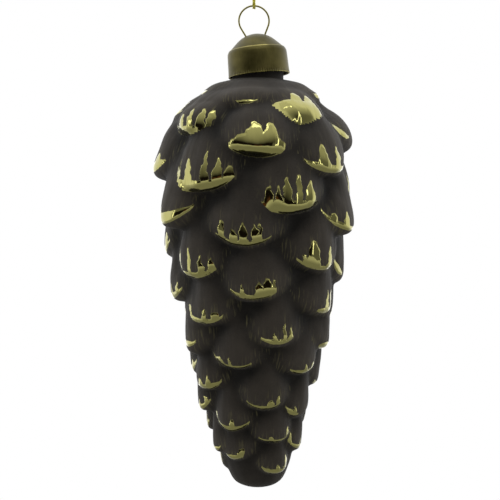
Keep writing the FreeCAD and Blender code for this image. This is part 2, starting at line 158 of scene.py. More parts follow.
def rowed_sphere(
    name: str, columns: int, rows: int,
) -> tuple[bpy.types.Object, np.ndarray, np.ndarray]:
    """Add a sphere whose rings are later moved onto a turned form.

    Args:
        name: the object's name.
        columns: vertices in each ring.
        rows: rings between the two poles.

    Returns:
        The object, each vertex's row from 0 at the upper pole to rows + 1 at the
        lower one, and each vertex's column from 0 at the front.
    """
    deselect_all()
    bpy.ops.mesh.primitive_uv_sphere_add(segments=columns, ring_count=rows + 1, radius=1.0)
    sphere = bpy.context.object
    sphere.name = name
    place = np.empty(len(sphere.data.vertices) * 3)
    sphere.data.vertices.foreach_get("co", place)
    place = place.reshape(-1, 3)
    row = np.rint(np.arccos(np.clip(place[:, 2], -1, 1)) / math.pi * (rows + 1)).astype(int)
    azimuth = np.arctan2(place[:, 0], -place[:, 1])
    return sphere, row, np.rint(azimuth / (2 * math.pi) * columns).astype(int) % columns


# Finishes


@dataclass(frozen=True)
class CoatedMirrorGlass:
    """Silvered gold glass under a sprayed matte coat that is wiped off the lips.

    The coat is a dark powdery brown that takes no highlight. Where it is wiped
    off, the mirror film shows as olive gold with runs standing up from the lip.
    """

    # ends of the coat's ramp: its mottle, with painted shade in hollows towards the dark end and
    # painted light on crowns towards the pale end
    coat_dark_and_painted_shade: str = "#0c0a07"
    coat_pale_and_painted_light: str = "#36312b"
    thin_coat: str = "#5c583c"
    gold: str = "#95915a"
    grain_mm: float = 0.4  # spray grain is nearer 0.05 mm, and drawn coarser to show
    grain_rise_mm: float = 0.06
    cloud_mm: float = 7.0  # uneven passes of the spray
    wobble_mm: float = 2.2  # waves of the gold's edge, and how far they reach
    wobble_reach_mm: float = 0.4
    rag_mm: float = 0.8  # the edge's small nicks, and how far they reach
    rag_reach_mm: float = 0.07
    edge_mm: float = 0.14  # width over which the coat thins out to the gold
    band_taper: float = 1.4
    run_taper: float = 0.65
    run_foot_mm: float = 1.6
    streak_mm: float = 0.45  # marks of the wiping rag
    streak_reach_mm: float = 3.5
    flute_mm: float = 1.7  # waves that the mould leaves in the glass
    flute_rise_mm: float = 0.16
    bead_mm: float = 0.8  # the film's thick rim, and how high it stands
    bead_rise_mm: float = 0.1
    coat_roughness: float = 0.75
    gold_roughness: float = 0.05

    def offset_noise(
        self, tree: bpy.types.NodeTree, size_mm: float, reach: float,
    ) -> bpy.types.NodeSocket:
        """Noise around zero, for moving the gold's edges.

        Args:
            tree: the material's node tree.
            size_mm: size of its lumps.
            reach: largest value, in millimetres.

        Returns:
            The noise's socket.
        """
        coords = add_node(tree, "ShaderNodeTexCoord", {}, {})
        noise = add_node(
            tree, "ShaderNodeTexNoise", {"Scale": 1 / (size_mm * MM), "Detail": 1.0},
            {"Vector": coords.outputs["Object"]},
        )
        spread = add_node(
            tree, "ShaderNodeMapRange",
            {"From Min": 0.3, "From Max": 0.7, "To Min": -reach, "To Max": reach},
            {"Value": noise.outputs["Fac"]},
        )
        return spread.outputs[0]

    def gold_depth(self, tree: bpy.types.NodeTree) -> bpy.types.NodeSocket:
        """How far inside the gold a point is, in millimetres, below 0 on the coat.

        Args:
            tree: the material's node tree.

        Returns:
            The depth's socket.
        """
        place = add_node(tree, "ShaderNodeAttribute", {"attribute_name": "scale_place"}, {})
        place = add_node(tree, "ShaderNodeSeparateXYZ", {}, {0: place.outputs["Vector"]})
        patch = add_node(tree, "ShaderNodeAttribute", {"attribute_name": "gold_patch"}, {})
        patch = add_node(tree, "ShaderNodeSeparateXYZ", {}, {0: patch.outputs["Vector"]})
        top = add_node(tree, "ShaderNodeAttribute", {"attribute_name": "gold_top"}, {})
        top = add_node(tree, "ShaderNodeSeparateXYZ", {}, {0: top.outputs["Vector"]})
        made = {
            "across": place.outputs[0], "rise": place.outputs[1], "aside": patch.outputs[0],
            "half_width": patch.outputs[1], "start": patch.outputs[2], "top": top.outputs[0],
            "sink": top.outputs[1],
            "wobble": self.offset_noise(tree, self.wobble_mm, self.wobble_reach_mm),
            "rag": self.offset_noise(tree, self.rag_mm, self.rag_reach_mm),
        }
        steps = [
            ("across", "ADD", "across", "wobble"), ("rise", "ADD", "rise", "rag"),
            # the band: a bow across the scale, from 1 at its middle to 0 at its ends
            ("off", "SUBTRACT", "across", "aside"), ("off", "DIVIDE", "off", "half_width"),
            ("off", "MULTIPLY", "off", "off"), ("off", "SUBTRACT", 1.0, "off"),
            ("off", "MAXIMUM", "off", 0.0), ("bow", "SQRT", "off"),
            # its lower edge turns up towards the ends, its upper edge comes down
            ("sunk", "SUBTRACT", 1.0, "bow"), ("sunk", "MULTIPLY_ADD", "sunk", "sink", "start"),
            ("lift", "SUBTRACT", "rise", "sunk"),
            ("upper", "POWER", "bow", self.band_taper), ("upper", "MULTIPLY", "upper", "top"),
            # and nothing lies beyond its ends
            ("end", "MULTIPLY_ADD", "bow", 2.0, -0.4),
        ]
        for number in range(1, RUN_COUNT + 1):
            name = f"gold_run_{number}"
            run = add_node(tree, "ShaderNodeAttribute", {"attribute_name": name}, {})
            run = add_node(tree, "ShaderNodeSeparateXYZ", {}, {0: run.outputs["Vector"]})
            made[f"place_{number}"], made[f"height_{number}"], made[f"half_{number}"] = run.outputs
            steps += [
                ("off", "SUBTRACT", "across", f"place_{number}"),
                ("off", "DIVIDE", "off", f"half_{number}"), ("off", "MULTIPLY", "off", "off"),
                ("off", "SUBTRACT", 1.0, "off"), ("off", "MAXIMUM", "off", 0.0),
                ("off", "POWER", "off", self.run_taper),
                ("off", "MULTIPLY", "off", f"height_{number}"),
                ("upper", "SMOOTH_MAX", "upper", "off", self.run_foot_mm),
            ]
        steps += [
            ("above", "SUBTRACT", "upper", "lift"), ("above", "MINIMUM", "above", "end"),
            ("depth", "MINIMUM", "above", "lift"),
        ]
        for name, operation, *given in steps:
            given = [made.get(value, value) for value in given]
            settings = {k: v for k, v in enumerate(given) if isinstance(v, float)}
            links = {k: v for k, v in enumerate(given) if not isinstance(v, float)}
            settings["operation"] = operation
            made[name] = add_node(tree, "ShaderNodeMath", settings, links).outputs[0]
        return made["depth"]

    def streaks(
        self, tree: bpy.types.NodeTree, depth: bpy.types.NodeSocket,
    ) -> bpy.types.NodeSocket:
        """Upright streaks of thin coat that fade out above the gold.

        Args:
            tree: the material's node tree.
            depth: how far inside the gold a point is, in millimetres.

        Returns:
            A socket from 0 to 1.
        """
        place = add_node(tree, "ShaderNodeAttribute", {"attribute_name": "scale_place"}, {})
        drawn = add_node(
            tree, "ShaderNodeMapping", {"Scale": (1 / self.streak_mm, 0.12 / self.streak_mm, 9.0)},
            {"Vector": place.outputs["Vector"]},
        )
        lines = add_node(
            tree, "ShaderNodeTexNoise", {"Scale": 1.0, "Detail": 2.0},
            {"Vector": drawn.outputs[0]},
        )
        sharp = add_node(
            tree, "ShaderNodeMapRange", {"From Min": 0.52, "From Max": 0.7},
            {"Value": lines.outputs["Fac"]},
        )
        fade = add_node(
            tree, "ShaderNodeMapRange",
            {"From Min": -self.streak_reach_mm, "From Max": -0.2, "To Max": 0.6}, {"Value": depth},
        )
        return add_node(
            tree, "ShaderNodeMath",
            {"operation": "MULTIPLY"}, {0: sharp.outputs[0], 1: fade.outputs[0]},
        ).outputs[0]

    def material(self) -> bpy.types.Material:
        """Build the node material.

        Returns:
            The material.
        """
        # glass blown in a mould, mirrored with a gold film, sprayed matte and wiped: a dark
        # body that takes no highlight, and wet-looking lips that mirror the room sharply
        material, tree, output = new_material("matte_coat_on_gold_mirrored_glass")
        depth = self.gold_depth(tree)
        mask = add_node(
            tree, "ShaderNodeMapRange",
            {"interpolation_type": "SMOOTHSTEP", "From Min": 0.0, "From Max": self.edge_mm},
            {"Value": depth},
        ).outputs[0]
        coords = add_node(tree, "ShaderNodeTexCoord", {}, {})
        clouds = add_node(
            tree, "ShaderNodeTexNoise",
            {"Scale": 1 / (self.cloud_mm * MM), "Detail": 5.0, "Roughness": 0.6},
            {"Vector": coords.outputs["Object"]},
        )
        grain = add_node(
            tree, "ShaderNodeTexNoise",
            {"Scale": 1 / (self.grain_mm * MM), "Detail": 2.0, "Roughness": 0.6},
            {"Vector": coords.outputs["Object"]},
        )
        crown = add_node(tree, "ShaderNodeAttribute", {"attribute_name": "crown"}, {})
        mottle = add_node(
            tree, "ShaderNodeMath", {"operation": "MULTIPLY_ADD", 1: 0.3},
            {0: grain.outputs["Fac"], 2: clouds.outputs["Fac"]},
        )
        # painted shade and light: the coat is drawn darker in hollows and lighter on crowns, by
        # how far the skin stands above the skin round it
        crown_painted_shade_and_light = add_node(
            tree, "ShaderNodeMapRange",
            {"From Min": -1.2, "From Max": 1.0, "To Max": 0.7}, {"Value": crown.outputs["Fac"]},
        )
        tone = add_node(
            tree, "ShaderNodeMath", {"operation": "MULTIPLY_ADD", 1: 0.6},
            {0: mottle.outputs[0], 2: crown_painted_shade_and_light.outputs[0]},
        )
        # the coat's colour: its mottle, plus painted shade in hollows and painted light on crowns
        coat = add_node(tree, "ShaderNodeValToRGB", {}, {0: tone.outputs[0]})
        set_stops(coat, [(0.35, self.coat_dark_and_painted_shade), (1.0, self.coat_pale_and_painted_light)])
        dusted = add_node(
            tree, "ShaderNodeMix", {"data_type": "RGBA", 7: linear(self.thin_coat)},
            {"Factor": self.streaks(tree, depth), 6: coat.outputs[0]},
        )
        colour = add_node(
            tree, "ShaderNodeMix", {"data_type": "RGBA", 7: linear(self.gold)},
            {"Factor": mask, 6: dusted.outputs[2]},
        )
        rough = add_node(
            tree, "ShaderNodeMapRange",
            {"To Min": self.coat_roughness, "To Max": self.gold_roughness}, {"Value": mask},
        )
        bare = add_node(tree, "ShaderNodeMath", {"operation": "SUBTRACT", 0: 1.0}, {1: mask})
        powder = add_node(
            tree, "ShaderNodeMath", {"operation": "MULTIPLY"},
            {0: grain.outputs["Fac"], 1: bare.outputs[0]},
        )
        place = add_node(tree, "ShaderNodeAttribute", {"attribute_name": "scale_place"}, {})
        drawn = add_node(
            tree, "ShaderNodeMapping", {"Scale": (1 / self.flute_mm, 0.25 / self.flute_mm, 5.0)},
            {"Vector": place.outputs["Vector"]},
        )
        flutes = add_node(
            tree, "ShaderNodeTexNoise", {"Scale": 1.0, "Detail": 1.0},
            {"Vector": drawn.outputs[0]},
        )
        waves = add_node(
            tree, "ShaderNodeBump", {"Strength": 1.0, "Distance": self.flute_rise_mm * MM},
            {"Height": flutes.outputs["Fac"]},
        )
        bead = add_node(
            tree, "ShaderNodeMapRange",
            {"interpolation_type": "SMOOTHSTEP", "From Max": self.bead_mm}, {"Value": depth},
        )
        beads = add_node(
            tree, "ShaderNodeBump", {"Strength": 1.0, "Distance": self.bead_rise_mm * MM},
            {"Height": bead.outputs[0], "Normal": waves.outputs[0]},
        )
        bump = add_node(
            tree, "ShaderNodeBump", {"Strength": 0.5, "Distance": self.grain_rise_mm * MM},
            {"Height": powder.outputs[0], "Normal": beads.outputs[0]},
        )
        shader = add_node(
            tree, "ShaderNodeBsdfPrincipled",
            {"Specular IOR Level": 0.2, "Sheen Weight": 0.03, "Sheen Roughness": 0.5},
            {
                "Base Color": colour.outputs[2], "Metallic": mask, "Roughness": rough.outputs[0],
                "Normal": bump.outputs[0],
            },
        )
        tree.links.new(shader.outputs[0], output.inputs["Surface"])
        return material


@dataclass(frozen=True)
class AntiqueBrass:
    """Spun brass under an even olive antique wash, with a painted highlight along its crease and
    its rim's edge.
    """

    axis: Vector
    base: Vector
    dark: str = "#38341a"
    middle: str = "#585230"
    # colour of the painted highlight on the crease and the rim's edge
    bright: str = "#b9ae68"
    cloud_mm: float = 5.0  # pools of the wash
    brush_mm: float = 0.3  # polishing lines are nearer 0.05 mm, and drawn coarser to show
    rim_highlight_mm: float = 0.35
    crease_mm: float = 7.78  # height of the crease above the rim, and half the width of its painted highlight
    crease_highlight_half_mm: float = 0.22
    knurl_lines: int = 80
    knurl_mm: float = 1.3  # height of the knurled edge, and depth of its lines
    knurl_rise_mm: float = 0.08

    def material(self) -> bpy.types.Material:
        """Build the node material.

        Returns:
            The material.
        """
        # brass sheet, spun, dipped in an antique wash and buffed: broad soft highlights on
        # a dull olive skirt, and thin painted highlights along the crease and the rim's edge
        material, tree, output = new_material("antique_washed_brass")
        coords = add_node(tree, "ShaderNodeTexCoord", {}, {})
        own = add_node(
            tree, "ShaderNodeVectorMath", {"operation": "SUBTRACT", 1: tuple(self.base * MM)},
            {0: coords.outputs["Object"]},
        ).outputs[0]
        across = Vector((self.axis.z, 0.0, -self.axis.x))
        up, side, depth = (
            add_node(
                tree, "ShaderNodeVectorMath",
                {"operation": "DOT_PRODUCT", 1: tuple(way)}, {0: own},
            ).outputs["Value"]
            for way in (self.axis, across, Vector((0.0, 1.0, 0.0)))
        )
        turn = add_node(tree, "ShaderNodeMath", {"operation": "ARCTAN2"}, {0: side, 1: depth})
        clouds = add_node(
            tree, "ShaderNodeTexNoise",
            {"Scale": 1 / (self.cloud_mm * MM), "Detail": 2.0, "Roughness": 0.5},
            {"Vector": own},
        )
        stretch = add_node(tree, "ShaderNodeMapping", {"Scale": (1.0, 1.0, 0.12)}, {"Vector": own})
        brush = add_node(
            tree, "ShaderNodeTexNoise",
            {"Scale": 1 / (self.brush_mm * MM), "Detail": 2.0, "Roughness": 0.6},
            {"Vector": stretch.outputs[0]},
        )
        tone = add_node(
            tree, "ShaderNodeMath", {"operation": "MULTIPLY_ADD", 1: 0.3},
            {0: brush.outputs["Fac"], 2: clouds.outputs["Fac"]},
        )
        wash = add_node(tree, "ShaderNodeValToRGB", {}, {0: tone.outputs[0]})
        set_stops(wash, [(0.4, self.dark), (0.85, self.middle)])
        # painted highlight lines, strongest at the rim's edge and on the crease
        rim = add_node(
            tree, "ShaderNodeMapRange",
            {"From Min": self.rim_highlight_mm * MM, "From Max": 0.0, "To Max": 0.8}, {"Value": up},
        )
        near = add_node(
            tree, "ShaderNodeMath", {"operation": "SUBTRACT", 1: self.crease_mm * MM}, {0: up},
        )
        near = add_node(tree, "ShaderNodeMath", {"operation": "ABSOLUTE"}, {0: near.outputs[0]})
        crease = add_node(
            tree, "ShaderNodeMapRange",
            {"From Min": self.crease_highlight_half_mm * MM, "From Max": 0.0, "To Max": 1.0},
            {"Value": near.outputs[0]},
        )
        painted_highlight = add_node(
            tree, "ShaderNodeMath", {"operation": "MAXIMUM"},
            {0: rim.outputs[0], 1: crease.outputs[0]},
        )
        # the painted highlight is broken into patches by the wash's clouds
        highlight_breakup = add_node(
            tree, "ShaderNodeMapRange",
            {"From Min": 0.4, "From Max": 0.62, "To Min": 0.25}, {"Value": clouds.outputs["Fac"]},
        )
        painted_highlight = add_node(
            tree, "ShaderNodeMath", {"operation": "MULTIPLY"},
            {0: painted_highlight.outputs[0], 1: highlight_breakup.outputs[0]},
        )
        colour = add_node(
            tree, "ShaderNodeMix", {"data_type": "RGBA", 7: linear(self.bright)},
            {"Factor": painted_highlight.outputs[0], 6: wash.outputs[0]},
        )
        lines = add_node(
            tree, "ShaderNodeMath", {"operation": "MULTIPLY", 1: float(self.knurl_lines)},
            {0: turn.outputs[0]},
        )
        lines = add_node(tree, "ShaderNodeMath", {"operation": "SINE"}, {0: lines.outputs[0]})
        band = add_node(
            tree, "ShaderNodeMapRange",
            {"From Min": self.knurl_mm * MM, "From Max": 0.3 * self.knurl_mm * MM}, {"Value": up},
        )
        knurl = add_node(
            tree, "ShaderNodeMath", {"operation": "MULTIPLY"},
            {0: lines.outputs[0], 1: band.outputs[0]},
        )
        rough = add_node(
            tree, "ShaderNodeMapRange", {"To Min": 0.42, "To Max": 0.56},
            {"Value": brush.outputs["Fac"]},
        )
        ridges = add_node(
            tree, "ShaderNodeBump", {"Strength": 0.8, "Distance": self.knurl_rise_mm * MM},
            {"Height": knurl.outputs[0]},
        )
        bump = add_node(
            tree, "ShaderNodeBump", {"Strength": 0.2, "Distance": 0.02 * MM},
            {"Height": brush.outputs["Fac"], "Normal": ridges.outputs[0]},
        )
        shader = add_node(
            tree, "ShaderNodeBsdfPrincipled", {"Metallic": 1.0},
            {
                "Base Color": colour.outputs[2], "Roughness": rough.outputs[0],
                "Normal": bump.outputs[0],
            },
        )
        tree.links.new(shader.outputs[0], output.inputs["Surface"])
        return material


@dataclass(frozen=True)
class DrawnBrassWire:
    """Olive drawn brass wire, evenly dulled, with soft long patches."""

    low: str = "#6f6832"
    high: str = "#8e8746"
    mark_mm: float = 2.5  # patches of tarnish

    def material(self) -> bpy.types.Material:
        """Build the node material.

        Returns:
            The material.
        """
        # brass wire, drawn through a die and dulled by air: a narrow highlight that runs
        # round the ring and breaks up in soft patches
        material, tree, output = new_material("drawn_brass_wire")
        coords = add_node(tree, "ShaderNodeTexCoord", {}, {})
        marks = add_node(
            tree, "ShaderNodeTexNoise",
            {"Scale": 1 / (self.mark_mm * MM), "Detail": 3.0, "Roughness": 0.6},
            {"Vector": coords.outputs["Object"]},
        )
        colour = add_node(tree, "ShaderNodeValToRGB", {}, {0: marks.outputs["Fac"]})
        set_stops(colour, [(0.35, self.low), (0.65, self.high)])
        rough = add_node(
            tree, "ShaderNodeMapRange", {"To Min": 0.2, "To Max": 0.38},
            {"Value": marks.outputs["Fac"]},
        )
        shader = add_node(
            tree, "ShaderNodeBsdfPrincipled", {"Metallic": 1.0},
            {"Base Color": colour.outputs[0], "Roughness": rough.outputs[0]},
        )
        tree.links.new(shader.outputs[0], output.inputs["Surface"])
        return material


@dataclass(frozen=True)
class MetallicThread:
    """Gold metallic yarn, plied, with fine filaments that glint."""

    low: str = "#857f1c"
    high: str = "#e6de66"
    filament_mm: float = 0.12  # cut film is nearer 0.05 mm, and drawn coarser to show

    def material(self) -> bpy.types.Material:
        """Build the node material.

        Returns:
            The material.
        """
        # metallised film yarn, two plies twisted: each strand glints in turn, a bright
        # yellow gold against dark gaps
        material, tree, output = new_material("plied_gold_thread")
        coords = add_node(tree, "ShaderNodeTexCoord", {}, {})
        fibres = add_node(
            tree, "ShaderNodeTexNoise",
            {"Scale": 1 / (self.filament_mm * MM), "Detail": 2.0, "Roughness": 0.6},
            {"Vector": coords.outputs["Object"]},
        )
        colour = add_node(tree, "ShaderNodeValToRGB", {}, {0: fibres.outputs["Fac"]})
        set_stops(colour, [(0.35, self.low), (0.7, self.high)])
        bump = add_node(
            tree, "ShaderNodeBump", {"Strength": 0.4, "Distance": 0.04 * MM},
            {"Height": fibres.outputs["Fac"]},
        )
        shader = add_node(
            tree, "ShaderNodeBsdfPrincipled", {"Metallic": 0.7, "Roughness": 0.4},
            {"Base Color": colour.outputs[0], "Normal": bump.outputs[0]},
        )
        tree.links.new(shader.outputs[0], output.inputs["Surface"])
        return material


# How the bauble hangs


@dataclass(frozen=True)
class Stance:
    """Ring, cap and neck, one above the other, with the cap leaning to the left."""

    ring_inner_radius: float = 4.12
    wire_radius: float = 0.25
    ring_above_rim: float = 16.0
    pivot_above_rim: float = 4.8
    root_below_pivot: float = 6.0
    cap_tilt: float = 5.4
    neck_radius: float = 7.48
    mouth_above_pivot: float = 2.14
    glass_wall: float = 1.0

    @property
    def axis(self) -> Vector:
        """Upward direction of the cap's axis."""
        tilt = math.radians(self.cap_tilt)
        return Vector((-math.sin(tilt), 0.0, math.cos(tilt)))

    @property
    def cap_base(self) -> Vector:
        """Middle of the cap's rim plane."""
        return Vector((0.0, 0.0, -self.ring_inner_radius)) - self.axis * self.ring_above_rim

    @property
    def pivot(self) -> Vector:
        """Point where the neck's axis crosses the cap's."""
        return self.cap_base + self.axis * self.pivot_above_rim

    @property
    def root_z(self) -> float:
        """Height of the neck's root."""
        return self.pivot.z - self.root_below_pivot

    @property
    def mouth_z(self) -> float:
        """Height of the neck's mouth."""
        return self.pivot.z + self.mouth_above_pivot


# Cap


class Side(Enum):
    """Side of the cap that a leg of the hanger goes through."""

    RIGHT = 1
    LEFT = -1


@dataclass
class SpunCap:
    """Thin spun cap: a skirt, a rolled crease and a dome with two holes for the legs."""

    stance: Stance
    finish: AntiqueBrass
    columns: int = 192
    dome_radius: float = 8.0
    dome_top: float = 12.18
    slope_from: float = 44.0
    wall: float = 0.3
    # radius and height above the rim: slope, crease, shoulder, skirt and rolled rim
    outside: tuple = (
        (5.90, 9.61), (6.60, 8.93), (7.20, 8.35), (7.50, 8.06), (7.60, 7.95), (7.68, 7.86),
        (7.75, 7.81), (7.84, 7.80), (7.93, 7.77), (8.02, 7.70), (8.12, 7.58), (8.26, 7.38),
        (8.40, 7.10), (8.52, 6.78), (8.59, 6.45), (8.64, 5.60), (8.70, 4.20), (8.76, 2.60),
        (8.82, 1.20), (8.85, 0.55), (8.87, 0.40), (8.90, 0.28), (8.92, 0.16), (8.90, 0.05),
        (8.84, 0.00),
    )
    inside: tuple = (
        (8.68, 0.00), (8.60, 0.06), (8.56, 0.20), (8.52, 1.20), (8.40, 4.20), (8.30, 6.40),
        (8.18, 6.90), (7.95, 7.32), (7.70, 7.58), (7.30, 7.92), (6.40, 8.80), (5.70, 9.48),
    )
    leg_lean: float = 26.0
    hole_radius: float = 0.4
    hole_length: float = 5.0
    sharp_bend: float = 40.0

    def dome(self, inset: float, steps: int) -> list[tuple[float, float]]:
        """Round top of the dome, without its apex.

        Args:
            inset: distance inside the outer skin.
            steps: points from the apex to the straight slope.

        Returns:
            Radius and height of each point, going outwards.
        """
        radius, centre = self.dome_radius - inset, self.dome_top - self.dome_radius
        angles = [math.radians(self.slope_from) * (k + 1) / steps for k in range(steps)]
        return [(radius * math.sin(a), centre + radius * math.cos(a)) for a in angles]

    def cut_hole(self, cap: bpy.types.Object, side: Side) -> None:
        """Cut the hole that one leg of the hanger goes through.

        Args:
            cap: the cap, upright and in millimetres.
            side: the leg's side.
        """
        lean = math.radians(self.leg_lean)
        ring = self.stance.ring_inner_radius + self.stance.wire_radius
        drop = self.stance.ring_above_rim - ring * math.sin(lean)
        start = Vector((side.value * ring * math.cos(lean), 0.0, drop))
        way = Vector((-side.value * math.sin(lean), 0.0, -math.cos(lean)))
        bpy.ops.mesh.primitive_cylinder_add(
            vertices=24, radius=self.hole_radius, depth=self.hole_length,
            location=start + way * self.hole_length / 2, rotation=(0.0, side.value * lean, 0.0),
        )
        cutter = bpy.context.object
        hole = cap.modifiers.new("leg_hole", "BOOLEAN")
        hole.object = cutter
        hole.operation = "DIFFERENCE"
        bpy.context.view_layer.objects.active = cap
        bpy.ops.object.modifier_apply(modifier=hole.name)
        bpy.data.objects.remove(cutter)

    def build(self) -> bpy.types.Object:
        """Model the cap upright, lean it and dress it.

        Returns:
            The finished piece.
        """
        section = self.dome(0.0, 16) + list(self.outside)
        section += list(self.inside) + self.dome(self.wall, 8)[::-1]
        rows = len(section)
        cap, row, column = rowed_sphere("spun_cap", self.columns, rows)
        radius = np.array([0.0] + [r for r, _ in section] + [0.0])[row]
        height = [self.dome_top] + [h for _, h in section] + [self.dome_top - self.wall]
        height = np.array(height)[row]
        turn = column * 2 * math.pi / self.columns
        place = np.stack([radius * np.sin(turn), -radius * np.cos(turn), height], axis=1)
        cap.data.vertices.foreach_set("co", place.ravel())
        cap.data.update()
        for side in Side:
            self.cut_hole(cap, side)
        lean = Matrix.Rotation(math.radians(-self.stance.cap_tilt), 4, "Y")
        cap.data.transform(Matrix.Scale(MM, 4) @ Matrix.Translation(self.stance.cap_base) @ lean)
        deselect_all()
        cap.select_set(True)
        bpy.context.view_layer.objects.active = cap
        bpy.ops.object.shade_smooth_by_angle(angle=math.radians(self.sharp_bend))
        dress(cap, self.finish.material())
        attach(cap, BODY)
        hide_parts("cap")
        return cap


# Glass cone


@dataclass(frozen=True)
class GoldPatch:
    """Bare gold on one scale: a band over its lip, with runs standing up from it.

    Places are millimetres across from the scale's middle and heights are
    millimetres above its lip's edge. A run is its place, top and half width. The
    band's lower edge rises by sink towards its ends.
    """

    aside: float
    half_width: float
    bottom: float
    top: float
    runs: tuple[tuple[float, float, float], ...] = ()
    sink: float = 1.2


@dataclass
class ScaleRow:
    """One scale as arrays need it."""

    number: int
    azimuth: float
    lip: float
    half_width: float
    widest: float
    length: float
    height: float


@dataclass
class PineConeForm:
    """Core outline and spiral of scales.

    The outline and the spiral are the solid's. The scales are rounder and softer.
    """

    stance: Stance
    cone_length: float = 117.9
    cone_radius: float = 24.0
    # shares of the radius and of the length
    stations: tuple = (
        (0.422, 0.009), (0.518, 0.023), (0.601, 0.047), (0.730, 0.081), (0.921, 0.128),
        (0.998, 0.201), (1.000, 0.286), (0.965, 0.379), (0.898, 0.481), (0.807, 0.583),
        (0.693, 0.684), (0.560, 0.790), (0.450, 0.880), (0.376, 0.942), (0.262, 0.985),
        (0.000, 1.000),
    )
    # the spiral: degrees of the front scale and between scales, its lip's place as a share
    # of the length, the pitch down the cone and how that falls, and the shoulder's pitch
    front_turn: float = 1.4
    scale_turn: float = 137.18
    front_place: float = 0.206
    pitch: float = 0.01649
    pitch_fall: float = 0.0000613
    shoulder_pitch: float = 0.0106
    shoulder_scale: int = -5
    last_place: float = 0.991
    first_scale: int = -11
    last_scale: int = 59
    # how single scales stray: degrees, millimetres down, share of height
    stray: dict = field(default_factory=lambda: {
        -8: (7, 1.0, 1.0), -7: (5, -1.0, 0.85), -6: (0, 2.0, 1.0), -5: (-3, 1.0, 1.0),
        -3: (0, -1.0, 1.0), -2: (6, 1.0, 0.9), 2: (-4, 1.0, 1.25), 3: (-6, -1.5, 1.0),
        5: (-4, 0.0, 1.0), 6: (11, 1.0, 0.95), 10: (3, 0.0, 1.45), 11: (-3, 0.0, 1.15),
        13: (8, 0.0, 1.0), 15: (1, -0.5, 1.1), 16: (7, 2.0, 1.0), 18: (4, 0.0, 1.0),
        19: (9, 0.0, 0.8), 21: (-4, 1.0, 1.0), 23: (0, -1.0, 1.05), 24: (-2, 1.0, 0.85),
        26: (-8, 0.0, 1.0), 27: (7, -1.0, 0.8), 28: (2, -0.5, 0.9), 29: (-5, 1.5, 1.0),
        31: (4, 0.0, 1.2), 32: (-4, -2.0, 0.9), 34: (-4, 0.5, 1.0), 35: (3, 0.5, 0.95),
        36: (1, 0.5, 0.95), 37: (3, -2.0, 1.0), 39: (-9, -0.5, 1.1), 40: (5, -2.5, 0.7),
        42: (5, 0.5, 1.0), 44: (1, -0.5, 1.25), 45: (2, -0.5, 0.85), 48: (6, -0.5, 0.75),
        49: (6, -1.0, 1.25), 52: (2, 0.5, 1.1), 53: (-2, -0.5, 0.8), 55: (-18, -1.0, 1.0),
        56: (11, -0.5, 0.8), 57: (-3, 0.5, 0.5), 58: (-9, 0.0, 1.0),
    })
    # a scale's sizes as shares of its cell, and the height that every scale has
    half_width: float = 0.74
    widest: float = 0.43
    scale_length: float = 1.75
    height: float = 0.262
    least_height: float = 0.2
    # how much a scale narrows upwards, and over how many times its widest part's height
    narrowing: float = 0.45
    narrowing_reach: float = 1.9
    # how pointed its upper end is, how much of it is flat and how steeply that ends
    tip_power: float = 1.3
    flat_share: float = 0.35
    edge_power: float = 2.2
    # how far its sides are down, then where the bulge over its lip starts to fall and how
    crown_fall: float = 0.12
    bulge_start: float = 0.35
    bulge_fall: float = 1.57
    bulge_power: float = 1.6
    # degrees by which scales hang over their lips, and how sharply neighbours meet
    scale_lean: float = 15.0
    blend_power: float = 4.0
    # millimetres outside the core at which scales are spaced, and are measured across
    spacing_margin: float = 3.5
    arc_margin: float = 2.0
    # blur of the blown skin, in degrees and in millimetres
    soft_turn: float = 3.2
    soft_length: float = 0.65
    # millimetres under the neck that are bare, over which scales rise, and fade at the tip
    neck_bare: float = 1.0
    neck_fade: float = 11.5
    tip_fade: float = 3.0
    seed: int = 11

    def __post_init__(self) -> None:
        """Work out the core outline and the scales."""
        self.chance = np.random.default_rng(self.seed)
        points = [(self.stance.neck_radius, 0.0)]
        points += [(r * self.cone_radius, s * self.cone_length) for r, s in self.stations]
        self.core = self.spline_through(np.array(points))
        steps = np.hypot(*np.diff(self.core, axis=0).T)
        self.core_length = np.concatenate([[0.0], np.cumsum(steps)])
        slope = np.gradient(self.core, self.core_length, axis=0)
        self.core_slope = slope / np.hypot(slope[:, 0], slope[:, 1])[:, None]
        self.length = float(self.core_length[-1])
        self.scales = [self.scale(n) for n in range(self.first_scale, self.last_scale + 1)]

    @staticmethod
    def spline_through(points: np.ndarray, steps: int = 40) -> np.ndarray:
        """Centripetal Catmull-Rom curve through points.

        Args:
            points: rows of radius and drop.
            steps: curve points for each span.

        Returns:
            Rows of radius and drop along the curve.
        """
        first = 2 * points[0] - points[1]
        last = np.array([-points[-2][0], points[-2][1]])
        chain = np.vstack([first, points, last])
        curve = []
        for k in range(1, len(chain) - 2):
            p0, p1, p2, p3 = chain[k - 1:k + 3]
            t1 = np.linalg.norm(p1 - p0) ** 0.5
            t2 = t1 + np.linalg.norm(p2 - p1) ** 0.5
            t3 = t2 + np.linalg.norm(p3 - p2) ** 0.5
            t = np.linspace(t1, t2, steps, endpoint=False)[:, None]
            ab = p0 + (p1 - p0) * t / t1
            bc = p1 + (p2 - p1) * (t - t1) / (t2 - t1)
            cd = p2 + (p3 - p2) * (t - t2) / (t3 - t2)
            abc = ab + (bc - ab) * t / t2
            bcd = bc + (cd - bc) * (t - t1) / (t3 - t1)
            curve.append(abc + (bcd - abc) * (t - t1) / (t2 - t1))
        curve.append(points[-1][None])
        curve = np.vstack(curve)
        curve[:, 0] = np.maximum(curve[:, 0], 0.0)
        return curve

